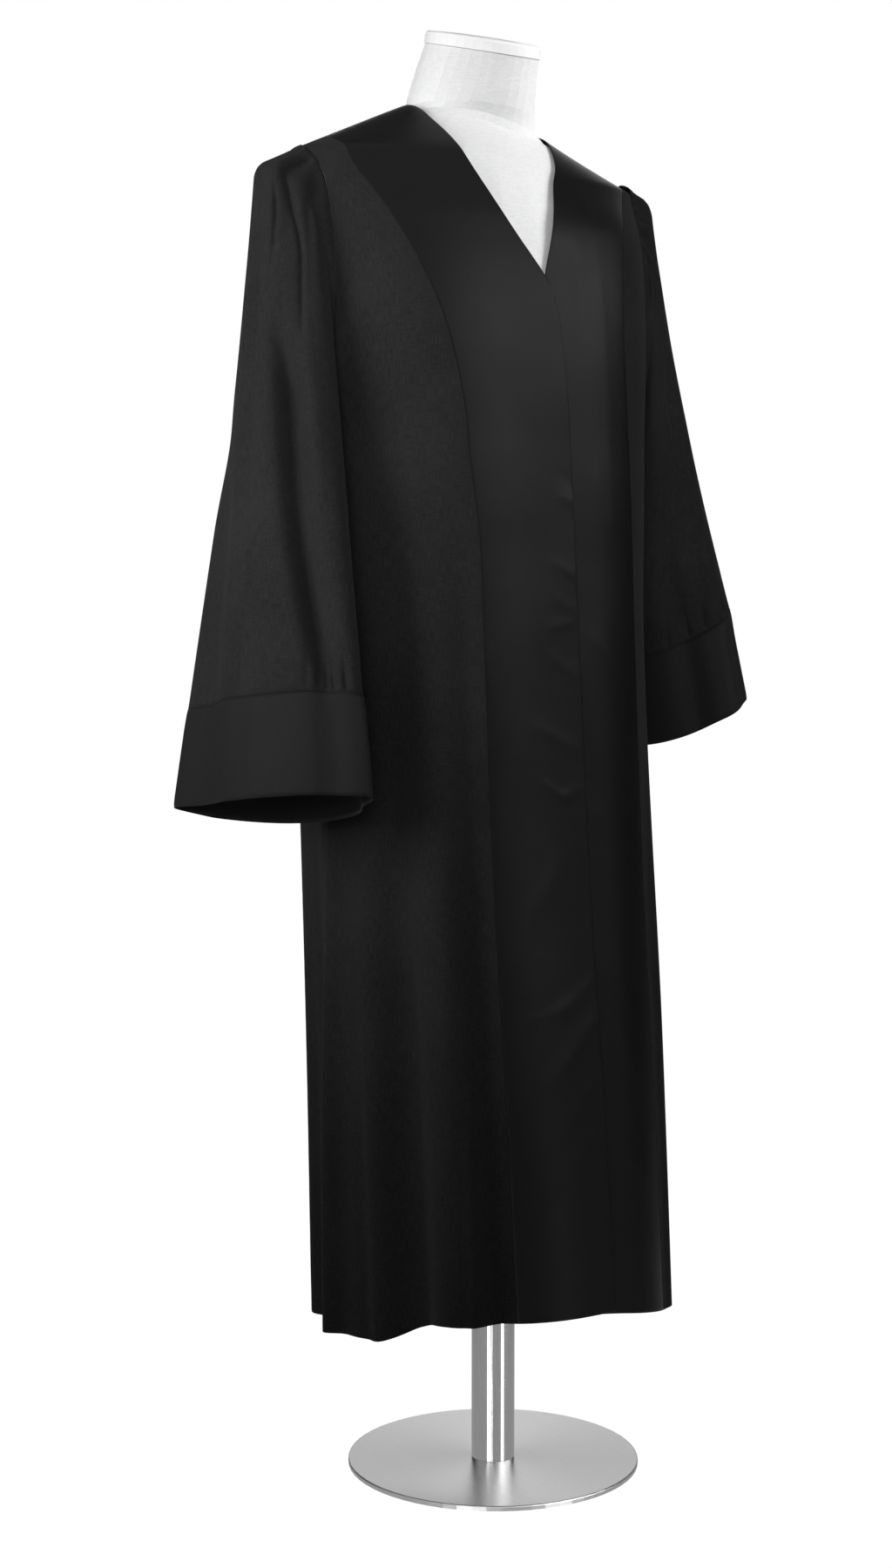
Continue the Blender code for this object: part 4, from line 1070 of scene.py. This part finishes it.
def cap_material():
    """The neck's smooth pale lid, with the faintest unevenness of its moulding."""
    graph = Graph(bpy.data.materials.new("cap"))
    cloud = graph.noise(graph.add("TexCoord").outputs["Object"], CAP_SCALE, CLOUD_DETAIL)
    graph.link(graph.mixed(cloud, *CAP_COLOURS), "Base Color")
    graph.link(graph.ramp(cloud, (0.0, 1.0), CAP_ROUGHNESS), "Roughness")
    graph.link(graph.bump(cloud, *CAP_RELIEF), "Normal")
    return graph.owner


def steel_material(name, stretch, colour, roughness, grain):
    """Brushed steel: fine lines along one direction in its tone, roughness and relief."""
    graph = Graph(bpy.data.materials.new(f"{name}_steel"))
    place = graph.add("TexCoord").outputs["Object"]
    lines = graph.noise(place, BRUSH_SCALE, BRUSH_DETAIL, stretch, STREAK_ROUGHNESS)
    darker = [channel * BRUSH_DARKNESS for channel in colour]
    graph.link(graph.mixed(graph.ramp(lines, LINE_TONES), darker, colour), "Base Color")
    rough = [roughness + change for change in BRUSH_ROUGHNESS]
    graph.link(graph.ramp(lines, (0.0, 1.0), rough), "Roughness")
    graph.link(graph.bump(lines, *BRUSH_RELIEF), "Normal")
    graph.set(Metallic=1.0, Anisotropic=grain)
    return graph.owner


def make_materials():
    materials = {name: cloth_material(name, **looks) for name, looks in WOVEN.items()}
    materials |= {"linen": linen_material(), "cap": cap_material()}
    return materials | {name: steel_material(name, **looks) for name, looks in STEELS.items()}


def finish_nodes():
    """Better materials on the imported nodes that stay. The pole doesn't mirror the disc."""
    for node, finish in FINISHES.items():
        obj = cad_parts[node]
        for slot in obj.material_slots:
            slot.material = MATERIALS[finish]
    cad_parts["base_disc"].visible_glossy = False


def make_camera():
    data = bpy.data.cameras.new("camera")
    data.lens = LENS
    data.sensor_width = SENSOR_WIDTH
    camera = placed("camera", data)
    camera.location = CAMERA_PLACE
    camera.rotation_euler = (math.radians(90.0 - CAMERA_PITCH), 0.0, math.radians(-CAMERA_HEADING))
    bpy.context.scene.camera = camera


def area_light(name, place, target, size, spread, power):
    """A soft lamp at a place, facing a target."""
    data = bpy.data.lights.new(name, "AREA")
    data.size = size
    data.spread = math.radians(spread)
    data.energy = power
    light = placed(name, data)
    x, y, z = (t - p for t, p in zip(target, place))
    tilt = math.atan2(math.hypot(x, y), -z)
    light.location = place
    light.rotation_euler = (tilt, 0.0, math.atan2(y, x) - math.pi / 2)
    light.visible_camera = False
    light.visible_glossy = False
    return light


def make_studio():
    """A white floor and surround, soft lamps, and one more lamp for the dress form alone."""
    data = bpy.data.meshes.new("floor")
    turns = np.linspace(0.0, 2 * math.pi, FLOOR_CORNERS, endpoint=False)
    ring = [(FLOOR_RADIUS * math.cos(a), FLOOR_RADIUS * math.sin(a), 0.0) for a in turns]
    data.from_pydata(ring, [], [list(range(FLOOR_CORNERS))])
    floor = placed("floor", data)
    graph = Graph(bpy.data.materials.new("floor"))
    graph.set(Base_Color=FLOOR_COLOUR, Specular_IOR_Level=0.0)
    graph.set(Roughness=0.9, Emission_Color=WHITE, Emission_Strength=1.0)
    data.materials.append(graph.owner)
    floor.visible_diffuse = False
    floor.visible_glossy = False
    for lamp in LAMPS:
        area_light(*lamp)
    form = bpy.data.collections.new("dress_form")
    for node in ("form_torso", "neck_cap"):
        form.objects.link(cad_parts[node])
    area_light(*FORM_LAMP).light_linking.receiver_collection = form
    make_surround()
    bpy.context.scene.view_settings.view_transform = "Standard"


def make_surround():
    """White behind everything, a weak even light, and a room of its own for reflections."""
    graph = Graph(bpy.data.worlds.new("surround"), "World Output")
    way = graph.add("TexCoord").outputs["Generated"]
    level = graph.add("VectorMath", {0: way, 1: (1.0, 1.0, 0.0)}, operation="MULTIPLY").outputs[0]
    level = graph.add("VectorMath", {0: level}, operation="NORMALIZE").outputs[0]
    height = graph.add("SeparateXYZ", {0: way}).outputs[2]
    backward = graph.dot(way, BACK_WAY)
    upper = graph.ramp(height, CEILING_HEIGHTS, (0.0, CEILING))
    lower = graph.ramp(height, FRONT_ROOM_HEIGHTS, (FOOT_ROOM, FRONT_ROOM))
    shade = graph.ramp(backward, BACK_SHADE_COSINES, (1.0, BACK_SHADE))
    front = graph.math("MULTIPLY", graph.math("ADD", upper, lower), shade)
    front = graph.ramp(height, LOW_ROOM_HEIGHTS, (LOW_ROOM, front))
    facing = graph.ramp(backward, BACK_WALL_COSINES)
    wall = graph.math("MULTIPLY", graph.band(height, BACK_WALL_HEIGHTS), facing)
    room = graph.ramp(wall, (0.0, 1.0), (front, BACK_WALL))
    strips = graph.band(graph.math("ABSOLUTE", height), STRIP_HEIGHTS)
    window = graph.band(height, WINDOW_HEIGHTS)
    for patch, heights in [(strip, strips) for strip in STRIPS] + [(WINDOW, window)]:
        share = graph.math("MULTIPLY", graph.cone(level, *patch), heights)
        room = graph.math("ADD", room, graph.math("MULTIPLY", share, PATCH_LEVEL))
    rays = graph.add("LightPath").outputs
    seen = graph.add("Background", {"Color": WHITE, "Strength": FILL_LIGHT}).outputs[0]
    for kind, strength in (("Is Glossy Ray", room), ("Is Camera Ray", 1.0)):
        other = graph.add("Background", {"Color": WHITE, "Strength": strength}).outputs[0]
        seen = graph.add("MixShader", {0: rays[kind], 1: seen, 2: other}).outputs[0]
    graph.tree.links.new(seen, graph.shader.inputs["Surface"])
    bpy.context.scene.world = graph.owner


make_camera()
MATERIALS = make_materials()
make_bands()
make_fronts()
make_back_band()
make_back()
for side in SIDES:
    make_sleeve(side)
finish_nodes()
make_studio()
